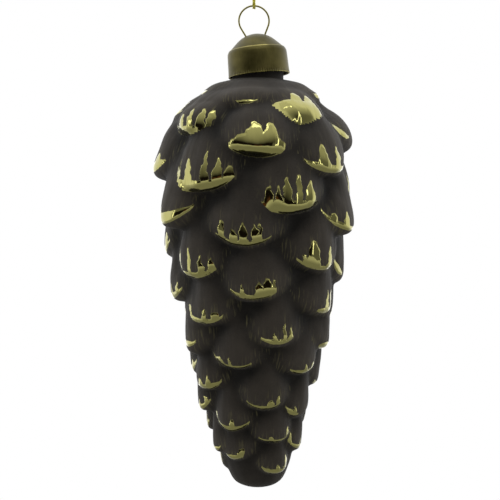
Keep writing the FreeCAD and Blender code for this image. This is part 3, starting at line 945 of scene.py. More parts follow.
    def core_at(
        self, along: np.ndarray,
    ) -> tuple[np.ndarray, np.ndarray, np.ndarray, np.ndarray]:
        """Read the core's outline.

        Args:
            along: lengths along the core.

        Returns:
            Radius and drop there, and the outline's unit direction as run and fall.
        """
        radius = np.interp(along, self.core_length, self.core[:, 0])
        drop = np.interp(along, self.core_length, self.core[:, 1])
        run = np.interp(along, self.core_length, self.core_slope[:, 0])
        fall = np.interp(along, self.core_length, self.core_slope[:, 1])
        return radius, drop, run, fall

    def scale(self, number: int) -> ScaleRow:
        """Place and size one scale on the spiral.

        Args:
            number: its number, counted down from the front scale 0.

        Returns:
            The scale's sizes.
        """
        turn, down, stature = self.stray.get(number, (0, 0.0, 1.0))
        pitch = self.pitch - 2 * self.pitch_fall * number
        counted = max(number, self.shoulder_scale)
        share = self.front_place + self.pitch * counted - self.pitch_fall * counted ** 2
        share -= self.shoulder_pitch * (counted - number)
        drop = min(share * self.cone_length + down, self.last_place * self.cone_length)
        lip = float(np.interp(drop, self.core[:, 1], self.core_length))
        around = 2 * math.pi * (float(self.core_at(np.array(lip))[0]) + self.spacing_margin)
        cell = math.sqrt(around * pitch * self.cone_length)
        return ScaleRow(
            number, math.radians(self.front_turn + self.scale_turn * number + turn), lip,
            self.half_width * cell, self.widest * cell, self.scale_length * cell,
            (self.height * cell + self.least_height) * stature,
        )

    def scale_height(self, scale: ScaleRow, across: np.ndarray, above: np.ndarray) -> np.ndarray:
        """Height of one scale over the core.

        Args:
            scale: the scale.
            across: distance round the cone from its middle.
            above: distance up from its lip.

        Returns:
            Heights, 0 outside the scale.
        """
        narrowing = smooth_fade((above - scale.widest) / (self.narrowing_reach * scale.widest))
        side = np.abs(across) / (scale.half_width * (1 - self.narrowing * narrowing))
        low = np.hypot(side, (scale.widest - above) / scale.widest)
        rise = np.maximum(above - scale.widest, 0.0) / (scale.length - scale.widest)
        high = (side ** self.tip_power + rise ** self.tip_power) ** (1 / self.tip_power)
        reach = np.where(above < scale.widest, low, high)
        ahead = np.where(above < scale.widest, (scale.widest - above) / scale.widest, rise)
        sideways = side ** 2 / (side ** 2 + ahead ** 2 + 1e-9)
        flat = self.flat_share * (1 - sideways)
        edge = np.clip((reach - flat) / (1 - flat), 0.0, 1.0)
        dome = np.clip(1 - edge ** self.edge_power, 0.0, 1.0) ** (0.5 + 0.5 * sideways)
        start = self.bulge_start * scale.widest
        fall = np.clip((above - start) / (scale.length - start), 0.0, 1.0)
        crown = 1 - self.crown_fall * np.clip(side, 0.0, 1.0) ** 2
        bulge = np.clip(1 - self.bulge_fall * fall ** self.bulge_power, 0.0, 1.0)
        return scale.height * dome * bulge * crown

    def relief(self, azimuth: np.ndarray, along: np.ndarray) -> tuple[np.ndarray, np.ndarray]:
        """Blended height of the scales, and which one stands highest.

        Args:
            azimuth: angles round the axis, 0 at the front.
            along: lengths along the core.

        Returns:
            Heights and the index of the highest scale, -1 where there is none.
        """
        radius, _, _, _ = self.core_at(along)
        total = np.zeros(azimuth.shape)
        highest = np.full(azimuth.shape, 1e-6)
        owner = np.full(azimuth.shape, -1)
        for index, scale in enumerate(self.scales):
            above = scale.lip - along
            across = wrapped(azimuth - scale.azimuth) * (radius + self.arc_margin)
            near = (above >= 0) & (above <= scale.length) & (np.abs(across) < scale.half_width)
            height = self.scale_height(scale, across[near], above[near])
            total[near] += height ** self.blend_power
            leads = np.zeros(azimuth.shape, bool)
            leads[near] = height > highest[near]
            highest[leads] = height[leads[near]]
            owner[leads] = index
        fade = smooth_fade((along - self.neck_bare) / self.neck_fade)
        fade = fade * smooth_fade((self.length - along) / self.tip_fade)
        return fade * total ** (1 / self.blend_power), owner

    def softened(self, height: np.ndarray, turn: float, length: float) -> np.ndarray:
        """Blur heights the way blown glass fills its mould.

        Args:
            height: heights by columns all round and by even steps of core length.
            turn: spread round the axis, in degrees.
            length: spread along the core, in millimetres.

        Returns:
            The blurred heights, in the same order.
        """
        columns, samples = height.shape
        waves = np.fft.fftfreq(columns, 1 / columns)[:, None]
        mirrored = np.concatenate([height, height[:, ::-1]], axis=1)
        ripples = np.fft.fftfreq(2 * samples, self.length / samples)[None]
        spread = np.exp(-0.5 * (waves * math.radians(turn)) ** 2)
        spread = spread * np.exp(-2 * (math.pi * ripples * length) ** 2)
        return np.fft.ifft2(np.fft.fft2(mirrored) * spread).real[:, :samples]

    def uneven(
        self, shape: tuple[int, int], turn: float, length: float, amount: float,
    ) -> np.ndarray:
        """Soft random waves, as hand-made moulds have.

        Args:
            shape: columns all round and steps of core length.
            turn: spread of a wave round the axis, in degrees.
            length: its spread along the core, in millimetres.
            amount: standard deviation of the waves.

        Returns:
            The waves, an array of that shape.
        """
        waves = self.softened(self.chance.normal(size=shape), turn, length)
        return waves * (amount / waves.std())

    def skin(
        self, along: np.ndarray, height: np.ndarray, wall: float,
    ) -> tuple[np.ndarray, np.ndarray]:
        """Radius and drop of the glass.

        Args:
            along: lengths along the core.
            height: height over the core at each place.
            wall: distance inside the outer skin.

        Returns:
            Radius and drop, as arrays.
        """
        radius, drop, run, fall = self.core_at(along)
        lean = math.radians(self.scale_lean)
        out = height * math.cos(lean) - wall
        down = height * math.sin(lean)
        return np.maximum(radius + out * fall + down * run, 0.0), drop - out * run + down * fall


@dataclass
class GlassCone:
    """The blown cone: one closed skin, fine enough for its lips to catch the light."""

    form: PineConeForm
    finish: CoatedMirrorGlass
    columns: int = 360
    outer_rows: int = 236
    inner_rows: int = 30
    samples: int = 1000
    bend_weight: float = 3.0  # millimetres of skin that a radian of bend counts for
    # each row of unevenness starts with its spread in degrees and in millimetres; then come
    # the degrees by which scales sway, the millimetres by which they slip down, and a
    # dent's depth with the power of the girth that it follows
    sway: tuple = (11.0, 4.5, 1.1)
    slip: tuple = (9.0, 5.0, 0.3)
    dents: tuple = ((6.0, 2.4, 0.12, 1), (2.2, 3.0, 0.09, 3), (2.6, 1.0, 0.035, 2))
    dents_from_neck: float = 14.0
    dents_from_tip: float = 8.0
    # spread of the skin that a crown is measured from, in degrees and in millimetres
    hollow_turn: float = 9.0
    hollow_length: float = 4.0
    inner_relief: float = 0.3  # share of the outer relief that the inside follows
    mouth_rounding: float = 0.25
    patches: dict = field(default_factory=lambda: {
        -8: GoldPatch(0.1, 2.6, 1.1, 2.6),
        -5: GoldPatch(-1.6, 8.4, -0.3, 7.6, ((-1.0, 10.6, 2.6), (2.9, 9.6, 2.2))),
        -3: GoldPatch(-1.3, 9.3, -0.3, 2.2, (
            (-2.6, 4.8, 1.6), (1.0, 6.3, 1.3), (4.5, 5.6, 1.4), (7.0, 4.4, 1.1),
        )),
        -2: GoldPatch(-9.4, 4.4, 2.7, 4.6),
        0: GoldPatch(-1.0, 8.1, 0.3, 7.0, ((-1.4, 9.4, 3.0), (2.3, 8.9, 2.6)), 2.0),
        2: GoldPatch(2.8, 5.0, 3.4, 6.2, ((3.8, 8.0, 2.0),)),
        3: GoldPatch(-1.0, 8.0, 1.4, 3.7, ((-3.0, 8.6, 2.0), (2.1, 8.4, 1.3))),
        5: GoldPatch(-0.6, 11.0, 1.2, 4.9, (
            (-7.9, 8.8, 1.3), (-3.0, 10.2, 1.9), (2.6, 12.0, 1.1), (6.0, 9.2, 1.6),
            (8.8, 5.6, 1.6),
        )),
        8: GoldPatch(0.5, 9.2, 0.6, 5.0, (
            (-5.7, 7.6, 1.5), (-3.4, 8.4, 1.2), (-1.0, 10.9, 1.4), (2.2, 11.4, 1.1),
            (5.6, 9.1, 1.9),
        )),
        10: GoldPatch(1.6, 8.4, 3.2, 6.4, ((-2.2, 7.6, 1.6),)),
        11: GoldPatch(-4.2, 7.4, 2.6, 4.4, ((-6.6, 5.9, 1.2), (-2.4, 7.8, 1.4))),
        13: GoldPatch(-1.2, 7.8, 1.3, 3.0, (
            (-6.7, 7.0, 1.2), (-3.3, 5.9, 1.3), (-0.6, 8.0, 1.4), (2.5, 7.4, 0.9),
            (3.7, 7.2, 0.6),
        )),
        16: GoldPatch(-0.8, 6.8, 2.0, 3.6, ((-5.3, 5.3, 0.9), (-2.8, 9.9, 2.1), (2.6, 8.4, 1.2))),
        18: GoldPatch(-0.8, 8.0, 1.0, 3.2, (
            (-6.6, 7.4, 2.1), (-1.0, 9.7, 1.0), (3.0, 7.4, 1.1), (5.9, 5.3, 1.2),
        )),
        19: GoldPatch(-7.6, 3.2, 2.0, 4.2),
        21: GoldPatch(-0.8, 6.4, 1.5, 3.2, (
            (-3.2, 5.6, 0.6), (1.2, 6.5, 1.5), (3.2, 7.1, 1.3), (4.9, 5.6, 0.9),
        )),
        24: GoldPatch(1.0, 3.4, 2.0, 4.0, ((1.7, 8.7, 0.8), (3.9, 7.6, 0.7))),
        26: GoldPatch(-1.4, 7.2, 1.7, 3.4, ((-6.7, 4.9, 1.4), (0.0, 5.9, 1.0), (3.0, 4.6, 1.4))),
        29: GoldPatch(0.0, 4.9, 2.5, 4.2, ((-1.0, 5.9, 0.6), (1.9, 8.0, 0.7), (3.8, 6.2, 0.9))),
        31: GoldPatch(-0.7, 4.4, 3.2, 4.9),
        32: GoldPatch(0.5, 3.4, 0.5, 3.4),
        34: GoldPatch(-1.8, 6.6, 1.5, 2.9, ((-5.0, 4.1, 1.8), (-1.4, 5.2, 0.6))),
        37: GoldPatch(1.4, 5.3, 1.4, 3.3, ((0.9, 5.0, 0.8), (4.4, 4.4, 1.0))),
        39: GoldPatch(1.2, 5.2, 1.0, 3.3, ((-0.8, 4.8, 1.4), (2.2, 5.6, 1.0))),
        40: GoldPatch(-2.5, 2.0, 0.5, 1.8),
        42: GoldPatch(-0.5, 5.2, 1.1, 2.5, ((0.9, 4.1, 1.3), (3.5, 4.4, 0.9))),
        45: GoldPatch(-4.4, 2.1, 1.0, 2.8, ((-3.7, 4.0, 0.7),)),
        47: GoldPatch(-1.5, 6.8, 0.5, 2.5, ((-6.3, 3.4, 1.1), (0.5, 4.3, 1.0))),
        50: GoldPatch(0.6, 5.3, 0.3, 2.3, ((-1.0, 3.2, 0.9), (4.4, 4.1, 1.0))),
        52: GoldPatch(0.4, 1.9, 1.2, 2.6),
        55: GoldPatch(0.0, 3.0, 0.6, 2.5, ((2.0, 3.8, 1.1),)),
        58: GoldPatch(-0.2, 4.5, 0.9, 3.0, ((0.0, 4.2, 1.0), (3.4, 5.2, 1.0))),
    })

    def spread_rows(self, radius: np.ndarray, drop: np.ndarray, along: np.ndarray) -> np.ndarray:
        """Lengths along the core for each column's rows, closer together at bends.

        Args:
            radius: sampled radii, one row for each column.
            drop: sampled drops, likewise.
            along: the sampled lengths.

        Returns:
            An array of columns by outer_rows.
        """
        step_r = np.diff(radius, axis=1)
        step_d = np.diff(drop, axis=1)
        heading = np.arctan2(step_d, step_r)
        turn = np.abs(wrapped(np.diff(heading, axis=1, prepend=heading[:, :1])))
        cost = np.cumsum(np.hypot(step_r, step_d) + self.bend_weight * turn, axis=1)
        cost = np.concatenate([np.zeros((len(radius), 1)), cost], axis=1)
        picked = np.empty((self.columns, self.outer_rows))
        for column in range(self.columns):
            targets = np.linspace(0.0, cost[column, -1], self.outer_rows + 1)[:-1]
            picked[column] = np.interp(targets, cost[column], along)
        return picked

    def rings(self) -> tuple[np.ndarray, np.ndarray, np.ndarray, np.ndarray]:
        """Radius, height, core length and crown of every vertex.

        Returns:
            Arrays of rows by columns, from the inner tip up to the mouth and
            down the outside to above the tip. The length is -1 inside. The crown
            is how far the vertex stands above the skin round it, in millimetres.
        """
        stance = self.form.stance
        azimuth = np.arange(self.columns) * 2 * math.pi / self.columns
        along = np.linspace(0.0, self.form.length, self.samples)
        grid_az, grid_al = np.meshgrid(azimuth, along, indexing="ij")
        sway = self.form.uneven(grid_az.shape, *self.sway[:2], math.radians(self.sway[2]))
        slip = self.form.uneven(grid_az.shape, *self.slip)
        raised = self.form.relief(grid_az + sway, grid_al + slip)[0]
        raised = self.form.softened(raised, self.form.soft_turn, self.form.soft_length)
        girth = self.form.core_at(along)[0] / self.form.cone_radius
        dents = sum(
            self.form.uneven(grid_az.shape, turn, length, amount) * girth ** power
            for turn, length, amount, power in self.dents
        )
        near_tip = smooth_fade((self.form.length - grid_al) / self.dents_from_tip)
        raised += dents * smooth_fade(grid_al / self.dents_from_neck) * near_tip
        hollow = raised - self.form.softened(raised, self.hollow_turn, self.hollow_length)
        radius, drop = self.form.skin(np.tile(along, (self.columns, 1)), raised, 0.0)
        picked = self.spread_rows(radius, drop, along)
        outer_h = np.array([np.interp(p, along, h) for p, h in zip(picked, raised)])
        crown = np.array([np.interp(p, along, h) for p, h in zip(picked, hollow)])
        outer_r, outer_d = self.form.skin(picked, outer_h, 0.0)
        inner = np.linspace(self.form.length, 0.0, self.inner_rows + 1)[1:]
        inner = np.tile(inner, (self.columns, 1))
        inner_h = np.array([np.interp(p, along, h) for p, h in zip(inner, raised)])
        inner_h = self.inner_relief * inner_h
        inner_r, inner_d = self.form.skin(inner, inner_h, stance.glass_wall)
        neck_top = stance.root_z - stance.mouth_z
        soft = self.mouth_rounding
        bore = stance.glass_wall - soft
        lip_r = stance.neck_radius - np.array([stance.glass_wall, bore, soft, 0.0])
        lip_d = neck_top + np.array([soft, 0.0, 0.0, soft])
        lip_r = np.repeat(lip_r[None], self.columns, 0)
        lip_d = np.repeat(lip_d[None], self.columns, 0)
        radius = np.concatenate([inner_r, lip_r, outer_r], axis=1).T
        drop = np.concatenate([inner_d, lip_d, outer_d], axis=1).T
        inside = np.zeros((self.columns, inner_r.shape[1] + lip_r.shape[1]))
        length = np.concatenate([inside - 1.0, picked], axis=1).T
        crown = np.concatenate([inside, crown], axis=1).T
        return radius, stance.root_z - drop, length, crown

    def build(self) -> bpy.types.Object:
        """Model, mark and dress the cone.

        Returns:
            The finished piece.
        """
        radius, height, length, crown = self.rings()
        rows = radius.shape[0]
        cone, row, column = rowed_sphere("moulded_glass_cone", self.columns, rows)
        mesh = cone.data
        place = np.empty((len(mesh.vertices), 3))
        pole = (row == 0) | (row == rows + 1)
        inner_row = np.clip(row - 1, 0, rows - 1)
        vertex_r = np.where(pole, 0.0, radius[inner_row, column])
        vertex_z = height[inner_row, column]
        tip_z = self.form.stance.root_z - self.form.cone_length
        vertex_z = np.where(row == 0, tip_z + self.form.stance.glass_wall, vertex_z)
        vertex_z = np.where(row == rows + 1, tip_z, vertex_z)
        turn = column * 2 * math.pi / self.columns
        place[:, 0] = self.form.stance.pivot.x + vertex_r * np.sin(turn)
        place[:, 1] = -vertex_r * np.cos(turn)
        place[:, 2] = vertex_z
        mesh.vertices.foreach_set("co", (place * MM).ravel())
        mesh.update()
        vertex_length = np.where(pole, -1.0, length[inner_row, column])
        self.mark_scales(mesh, turn, vertex_length)
        # the crown, from which the coat gets painted shade in hollows and painted light on crowns
        crown = np.where(pole, 0.0, crown[inner_row, column])
        mesh.attributes.new("crown", "FLOAT", "POINT").data.foreach_set("value", crown)
        bpy.ops.object.shade_smooth()
        dress(cone, self.finish.material())
        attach(cone, BODY)
        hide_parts("glass_cone")
        return cone

    def mark_scales(self, mesh: bpy.types.Mesh, turn: np.ndarray, length: np.ndarray) -> None:
        """Store each face corner's place on its own scale's gold patch.

        Args:
            mesh: the cone's mesh.
            turn: azimuth of every vertex.
            length: core length of every vertex, -1 inside.
        """
        corners = np.empty(len(mesh.loops), int)
        mesh.loops.foreach_get("vertex_index", corners)
        counts = np.empty(len(mesh.polygons), int)
        mesh.polygons.foreach_get("loop_total", counts)
        starts = np.concatenate([[0], np.cumsum(counts)[:-1]])
        corner_turn = turn[corners]
        corner_length = length[corners]
        face_turn = np.arctan2(
            np.add.reduceat(np.sin(corner_turn), starts),
            np.add.reduceat(np.cos(corner_turn), starts),
        )
        face_length = np.add.reduceat(corner_length, starts) / counts
        owner = self.form.relief(face_turn, np.maximum(face_length, 0.0))[1]
        outside = np.minimum.reduceat(corner_length, starts) >= 0
        owner = np.where(outside, owner, -1)
        corner_owner = np.repeat(owner, counts)
        places = np.zeros((len(corners), 3))
        places[:, 1] = -20.0
        patch_rows = np.tile([0.0, 1.0, 0.0], (len(counts), 1))
        top_rows = np.zeros((len(counts), 3))
        run_rows = np.tile([0.0, 0.0, 1.0], (RUN_COUNT, len(counts), 1))
        radius = self.form.core_at(np.maximum(corner_length, 0.0))[0]
        for index, scale in enumerate(self.form.scales):
            own = corner_owner == index
            if not own.any():
                continue
            patch = self.patch_of(scale)
            across = wrapped(corner_turn[own] - scale.azimuth)
            across = across * (radius[own] + self.form.arc_margin)
            bow = np.sqrt(np.clip(1 - (across / scale.half_width) ** 2, 0, 1))
            edge = scale.widest * (1 - bow)
            places[own, 0] = across
            places[own, 1] = scale.lip - corner_length[own] - edge
            places[own, 2] = scale.number
            faces = owner == index
            patch_rows[faces] = (patch.aside, patch.half_width, patch.bottom)
            top_rows[faces] = (patch.top - patch.bottom, patch.sink, 0.0)
            for k, (place, top, half) in enumerate(patch.runs):
                run_rows[k, faces] = (place, top - patch.bottom, half)
        layers = {"gold_patch": patch_rows, "gold_top": top_rows}
        layers.update({f"gold_run_{k + 1}": rows for k, rows in enumerate(run_rows)})
        placed = mesh.attributes.new("scale_place", "FLOAT_VECTOR", "CORNER")
        placed.data.foreach_set("vector", places.ravel())
        for name, rows in layers.items():
            layer = mesh.attributes.new(name, "FLOAT_VECTOR", "FACE")
            layer.data.foreach_set("vector", rows.ravel())

    def patch_of(self, scale: ScaleRow) -> GoldPatch:
        """Gold patch of a scale, listed or else drawn at random by its number.

        Args:
            scale: the scale.

        Returns:
            The patch.
        """
        if scale.number in self.patches:
            return self.patches[scale.number]
        chance = np.random.default_rng(scale.number + 40)
        if scale.number < -8:
            return GoldPatch(0.0, 2.4, 1.2, 3.0)
        half = scale.half_width * chance.uniform(0.5, 0.78)
        bottom = scale.widest * chance.uniform(0.2, 0.4)
        top = bottom + scale.widest * chance.uniform(0.25, 0.45)
        runs = []
        for place in np.linspace(-0.75, 0.7, int(chance.integers(2, RUN_COUNT + 1))):
            height = top + scale.widest * chance.uniform(0.15, 0.75) * (1 - 0.5 * abs(place))
            aside = half * (place + chance.uniform(-0.1, 0.1))
            runs.append((aside, height, half * chance.uniform(0.07, 0.16)))
        return GoldPatch(half * chance.uniform(-0.15, 0.15), half, bottom, top, tuple(runs))


# Cord


@dataclass
class HangingCord:
    """Thin two-ply gold cord: a loop through the ring, tied on its back strand."""

    stance: Stance
    finish: MetallicThread
    diameter: float = 0.9
    wrap_gap: float = -0.02  # the cord is pulled this far into the wire
    loop_top: float = 42.2
    loop_half: float = 2.9
    knot_z: float = 30.0
    knot_half: float = 1.55
    straight_from_ring: float = 5.4
    lay: float = 2.6  # length of one twist of the plies
    ply_radius: float = 0.26
    ply_offset: float = 0.22
    step: float = 0.2
    coil_turns: float = 2.4
    coil_radius: float = 0.76
    coil_rise: float = 0.86
    coil_points: int = 60
    tail: float = 4.5  # length of each of the knot's two ends, and how far each droops
    tail_points: int = 10
    tail_droop_below: float = 1.6
    tail_droop_above: float = 2.4

    def ends(self) -> tuple[Vector, Vector, Vector, Vector]:
        """Where the two strands leave the ring.

        Returns:
            Low points of the front and back strands, then the ways they go up.
        """
        reach = self.stance.wire_radius + self.diameter / 2 + self.wrap_gap
        low = self.stance.wire_radius - reach
        front, back = Vector((0, -reach, low)), Vector((0, reach, low))
        up_front = (Vector((0, -self.loop_half, self.loop_top)) - front).normalized()
        up_back = (Vector((0, self.loop_half, self.loop_top)) - back).normalized()
        return front, back, up_front, up_back

    @property
    def knot(self) -> Vector:
        """Middle of the knot, on the back strand."""
        _, back, _, up_back = self.ends()
        return back + up_back * ((self.knot_z - back.z) / up_back.z)

    def route(self) -> list[Vector]:
        """Lay out the cord.

        Returns:
            Its corners, from the top of its knot round to the knot's underside.
        """
        front, back, up_front, up_back = self.ends()
        return [
            self.knot + up_back * self.knot_half,
            Vector((0, self.loop_half, self.loop_top)),
            Vector((0, -self.loop_half, self.loop_top)),
            front + up_front * self.straight_from_ring, front,
            back, back + up_back * self.straight_from_ring, self.knot - up_back * self.knot_half,
        ]

    def line(self) -> np.ndarray:
        """Read the cord's smooth line from the NURBS spline of its route.

        Returns:
            Rows of x, y, z in metres, evenly spaced.
        """
        points = self.route()
        curve = bpy.data.curves.new("cord_line", "CURVE")
        curve.dimensions = "3D"
        curve.resolution_u = 24
        spline = curve.splines.new("NURBS")
        spline.points.add(len(points) - 1)
        for target, point in zip(spline.points, points):
            target.co = (*(point * MM), 1.0)
        spline.order_u = 3
        spline.use_endpoint_u = True
        guide = bpy.data.objects.new("cord_line", curve)
        mesh = bpy.data.meshes.new_from_object(guide)
        read = np.array([v.co for v in mesh.vertices])
        bpy.data.objects.remove(guide)
        bpy.data.meshes.remove(mesh)
        along = np.concatenate([[0.0], np.cumsum(np.linalg.norm(np.diff(read, axis=0), axis=1))])
        even = np.linspace(0.0, along[-1], int(along[-1] / (self.step * MM)) + 1)
        return np.stack([np.interp(even, along, read[:, k]) for k in range(3)], axis=1)

    def tube(self, name: str, path: np.ndarray, radius: float) -> bpy.types.Object:
        """Round tube along points.

        Args:
            name: the object's name.
            path: rows of x, y, z in metres.
            radius: the tube's radius in millimetres.

        Returns:
            The tube as a mesh object.
        """
        curve = bpy.data.curves.new(name, "CURVE")
        curve.dimensions = "3D"
        curve.bevel_depth = radius * MM
        curve.bevel_resolution = 2
        curve.use_fill_caps = True
        spline = curve.splines.new("POLY")
        spline.points.add(len(path) - 1)
        spline.points.foreach_set("co", np.hstack([path, np.ones((len(path), 1))]).ravel())
        tube = bpy.data.objects.new(name, curve)
        bpy.context.collection.objects.link(tube)
        deselect_all()
        tube.select_set(True)
        bpy.context.view_layer.objects.active = tube
        bpy.ops.object.convert(target="MESH")
        bpy.ops.object.shade_smooth()
        return tube

    def plies(self, name: str, path: np.ndarray, across: np.ndarray) -> bpy.types.Object:
        """Two strands twisted round each other along a line.

        Args:
            name: the object's name.
            path: rows of x, y, z in metres, evenly spaced.
            across: a direction at right angles to the line at each point.

        Returns:
            Both strands as one mesh object.
        """
        ahead = np.gradient(path, axis=0)
        ahead /= np.linalg.norm(ahead, axis=1)[:, None]
        other = np.cross(ahead, across)
        steps = np.linalg.norm(np.diff(path, axis=0), axis=1)
        along = np.concatenate([[0.0], np.cumsum(steps)])
        # the strands lie side by side where the cord bends under the wire
        phase = (along - along[np.argmin(path[:, 2])])[:, None] / (self.lay * MM) * 2 * math.pi
        strands = []
        for start in (0.0, math.pi):
            out = np.cos(phase + start) * across + np.sin(phase + start) * other
            strands.append(self.tube(name, path + out * self.ply_offset * MM, self.ply_radius))
        deselect_all()
        for strand in strands:
            strand.select_set(True)
        bpy.context.view_layer.objects.active = strands[0]
        bpy.ops.object.join()
        return strands[0]

    def build_knot(self) -> bpy.types.Object:
        """Tie the barrel knot: a short coil with its two tails.

        Returns:
            The finished piece.
        """
        up = self.ends()[3]
        side = Vector((1, 0, 0))
        back = up.cross(side)
        turns = np.linspace(-0.5, 0.5, self.coil_points) * self.coil_turns
        coil = [
            self.knot + up * (t * self.coil_rise)
            + side * (math.cos(2 * math.pi * t) * self.coil_radius)
            + back * (math.sin(2 * math.pi * t) * self.coil_radius)
            for t in turns
        ]
        first = (coil[0] - coil[1]).normalized()
        last = (coil[-1] - coil[-2]).normalized()
        shares = np.linspace(0.1, 1.0, self.tail_points)
        below = [
            coil[0] + first * self.tail * k - up * self.tail_droop_below * k ** 1.5
            for k in shares[::-1]
        ]
        above = [
            coil[-1] + last * self.tail * k - up * self.tail_droop_above * k ** 2
            for k in shares
        ]
        path = np.array(below + coil + above) * MM
        ahead = np.gradient(path, axis=0)
        across = np.cross(ahead, np.array(up))
        across /= np.linalg.norm(across, axis=1)[:, None]
        knot = self.plies("barrel_knot", path, across)
        dress(knot, self.finish.material())
        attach(knot, BODY)
        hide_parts("cord_knot")
        return knot

    def build(self) -> bpy.types.Object:
        """Twist the cord along its line and tie its knot.

        Returns:
            The finished cord.
        """
        line = self.line()
        cord = self.plies("twisted_cord", line, np.tile([1.0, 0.0, 0.0], (len(line), 1)))
        dress(cord, self.finish.material())
        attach(cord, BODY)
        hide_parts("hanging_cord")
        self.build_knot()
        return cord


# Studio


@dataclass(frozen=True)
class SoftBox:
    """One rectangular soft light, aimed at the middle of the bauble.

    Turn and rise are degrees from straight in front. Distance and sizes are metres.
    """

    name: str
    turn: float
    rise: float
    distance: float
    width: float
    height: float
    radiance: float

    def hang(self) -> None:
        """Place the light round the bauble."""
        light = bpy.data.lights.new(self.name, "AREA")
        light.shape = "RECTANGLE"
        light.size = self.width
        light.size_y = self.height
        light.energy = self.radiance * math.pi * self.width * self.height
        lamp = bpy.data.objects.new(self.name, light)
        bpy.context.collection.objects.link(lamp)
        turn, rise = math.radians(self.turn), math.radians(self.rise)
        level = math.cos(rise)
        towards = Vector((math.sin(turn) * level, -math.cos(turn) * level, math.sin(rise)))
        lamp.location = Vector((0, 0, CENTRE)) + towards * self.distance
        lamp.rotation_euler = towards.to_track_quat("Z", "Y").to_euler()


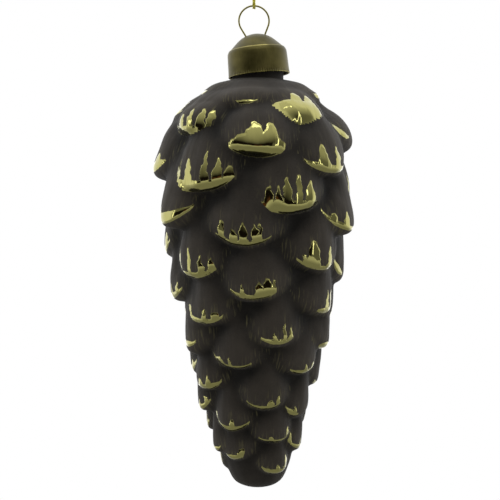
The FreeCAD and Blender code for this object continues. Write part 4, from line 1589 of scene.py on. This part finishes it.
@dataclass(frozen=True)
class Studio:
    """Pale floor, soft lights and the camera at the photograph's angle."""

    frame_mm: float = 145.0  # width of the view at the bauble, and the camera's distance
    distance_mm: float = 400.0
    view_x: float = -1.16
    view_z: float = -70.56
    floor_z: float = -480.0
    floor_radius: float = 1.6
    boxes: tuple = (
        SoftBox("right_strip", 47.0, 8.0, 0.7, 0.05, 0.5, 4.5),
        SoftBox("left_strip", -82.0, 8.0, 0.7, 0.07, 0.5, 3.5),
        SoftBox("top_box", -10.0, 60.0, 0.8, 0.35, 0.22, 3.0),
    )

    def camera(self) -> None:
        """Set the camera level with the middle of the object."""
        camera = bpy.data.objects.new("camera", bpy.data.cameras.new("camera"))
        bpy.context.collection.objects.link(camera)
        camera.location = (self.view_x * MM, -self.distance_mm * MM, self.view_z * MM)
        camera.rotation_euler = (math.pi / 2, 0.0, 0.0)
        camera.data.sensor_width = 36.0
        camera.data.lens = 36.0 * self.distance_mm / self.frame_mm
        bpy.context.scene.camera = camera

    def floor(self) -> None:
        """Lay a pale round floor well below the bauble."""
        deselect_all()
        bpy.ops.mesh.primitive_circle_add(
            vertices=96, radius=self.floor_radius, fill_type="NGON",
            location=(0, 0, self.floor_z * MM),
        )
        floor = bpy.context.object
        floor.name = "studio_floor"
        # matte paper: no highlight, and its edge melts into the white round it
        material, tree, output = new_material("pale_studio_paper")
        coords = add_node(tree, "ShaderNodeTexCoord", {}, {})
        flat = add_node(
            tree, "ShaderNodeVectorMath", {"operation": "MULTIPLY", 1: (1.0, 1.0, 0.0)},
            {0: coords.outputs["Object"]},
        )
        reach = add_node(
            tree, "ShaderNodeVectorMath", {"operation": "LENGTH"}, {0: flat.outputs[0]},
        )
        glow = add_node(
            tree, "ShaderNodeMapRange",
            {"interpolation_type": "SMOOTHSTEP", "From Min": 0.5, "From Max": 1.4},
            {"Value": reach.outputs["Value"]},
        )
        paper = add_node(tree, "ShaderNodeBsdfDiffuse", {"Color": linear("#9c9c9a")}, {})
        lit = add_node(
            tree, "ShaderNodeEmission", {"Color": linear("#ffffff"), "Strength": 1.0}, {},
        )
        shader = add_node(
            tree, "ShaderNodeMixShader",
            {}, {0: glow.outputs[0], 1: paper.outputs[0], 2: lit.outputs[0]},
        )
        tree.links.new(shader.outputs[0], output.inputs["Surface"])
        dress(floor, material)

    def world(self) -> None:
        """White room with a dark side in front, which the gold mirrors."""
        world = bpy.data.worlds.new("studio")
        bpy.context.scene.world = world
        world.use_nodes = True
        tree = world.node_tree
        tree.nodes.clear()
        output = tree.nodes.new("ShaderNodeOutputWorld")
        coords = add_node(tree, "ShaderNodeTexCoord", {}, {})
        ray = coords.outputs["Generated"]
        parts = add_node(tree, "ShaderNodeSeparateXYZ", {}, {0: ray})
        height = add_node(
            tree, "ShaderNodeMapRange", {"From Min": -1.0, "From Max": 1.0},
            {"Value": parts.outputs[2]},
        )
        walls = add_node(tree, "ShaderNodeValToRGB", {}, {0: height.outputs[0]})
        set_stops(walls, [
            (0.0, "#6e6e6c"), (0.45, "#6e6e6c"), (0.6, "#7c7c78"), (0.8, "#c8c8c4"),
            (1.0, "#ffffff"),
        ])
        dark = add_node(tree, "ShaderNodeValToRGB", {}, {0: height.outputs[0]})
        set_stops(dark, [
            (0.0, "#a4a4a0"), (0.16, "#8c8c88"), (0.29, "#1c1613"), (0.5, "#15110f"),
            (0.68, "#8c8c88"), (1.0, "#e8e8e6"),
        ])
        # radians from straight behind, where white paper stands, to the dark side in front
        turn = add_node(
            tree, "ShaderNodeMath", {"operation": "ARCTAN2"},
            {0: parts.outputs[0], 1: parts.outputs[1]},
        )
        flip = add_node(tree, "ShaderNodeMath", {"operation": "ABSOLUTE"}, {0: turn.outputs[0]})
        behind = add_node(
            tree, "ShaderNodeMapRange",
            {"interpolation_type": "SMOOTHSTEP", "From Min": 1.75, "From Max": 1.35},
            {"Value": flip.outputs[0]},
        )
        left = add_node(
            tree, "ShaderNodeMapRange",
            {"interpolation_type": "SMOOTHSTEP", "From Min": 1.85, "From Max": 2.0},
            {"Value": flip.outputs[0]},
        )
        right = add_node(
            tree, "ShaderNodeMapRange",
            {"interpolation_type": "SMOOTHSTEP", "From Min": 2.42, "From Max": 2.52},
            {"Value": flip.outputs[0]},
        )
        side = add_node(
            tree, "ShaderNodeMath", {"operation": "GREATER_THAN", 1: 0.0}, {0: parts.outputs[0]},
        )
        shut = add_node(
            tree, "ShaderNodeMix", {"data_type": "FLOAT"},
            {"Factor": side.outputs[0], 2: left.outputs[0], 3: right.outputs[0]},
        )
        room = add_node(
            tree, "ShaderNodeMix", {"data_type": "RGBA"},
            {"Factor": shut.outputs[0], 6: walls.outputs[0], 7: dark.outputs[0]},
        )
        open_room = add_node(
            tree, "ShaderNodeMix", {"data_type": "RGBA", 7: linear("#ffffff")},
            {"Factor": behind.outputs[0], 6: room.outputs[2]},
        )
        # a warm brown patch, low in front, for the lips to mirror
        ahead = Vector((-0.12, -1.0, -0.3)).normalized()
        facing = add_node(
            tree, "ShaderNodeVectorMath", {"operation": "DOT_PRODUCT", 1: tuple(ahead)}, {0: ray},
        )
        warm = add_node(
            tree, "ShaderNodeMapRange",
            {"interpolation_type": "SMOOTHSTEP", "From Min": 0.965, "From Max": 0.995},
            {"Value": facing.outputs["Value"]},
        )
        lit_room = add_node(
            tree, "ShaderNodeMix", {"data_type": "RGBA", 7: linear("#5e3c28")},
            {"Factor": warm.outputs[0], 6: open_room.outputs[2]},
        )
        mirrored = add_node(
            tree, "ShaderNodeBackground", {"Strength": 1.67}, {"Color": lit_room.outputs[2]},
        )
        seen = add_node(
            tree, "ShaderNodeBackground", {"Color": linear("#ffffff"), "Strength": 1.0}, {},
        )
        path = add_node(tree, "ShaderNodeLightPath", {}, {})
        both = add_node(
            tree, "ShaderNodeMixShader", {},
            {0: path.outputs["Is Camera Ray"], 1: mirrored.outputs[0], 2: seen.outputs[0]},
        )
        tree.links.new(both.outputs[0], output.inputs["Surface"])

    def build(self) -> None:
        """Set up everything around the object."""
        self.camera()
        self.floor()
        self.world()
        for box in self.boxes:
            box.hang()
        view = bpy.context.scene.view_settings
        view.view_transform = "Standard"
        view.look = "None"
        view.exposure = 0.0


def main() -> None:
    """Build the studio and every piece."""
    logging.basicConfig(level=logging.INFO, format="%(name)s: %(message)s")
    stance = Stance()
    Studio().build()
    log.info("studio set")
    HangingCord(stance, MetallicThread()).build()
    log.info("cord laid and its knot tied")
    cone = GlassCone(PineConeForm(stance), CoatedMirrorGlass()).build()
    log.info("cone modelled, %d faces", len(cone.data.polygons))
    SpunCap(stance, AntiqueBrass(stance.axis, stance.cap_base)).build()
    log.info("cap spun")
    dress(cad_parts["hanger_wire"], DrawnBrassWire().material())
    log.info("hanger finished")


if __name__ == "__main__":
    main()
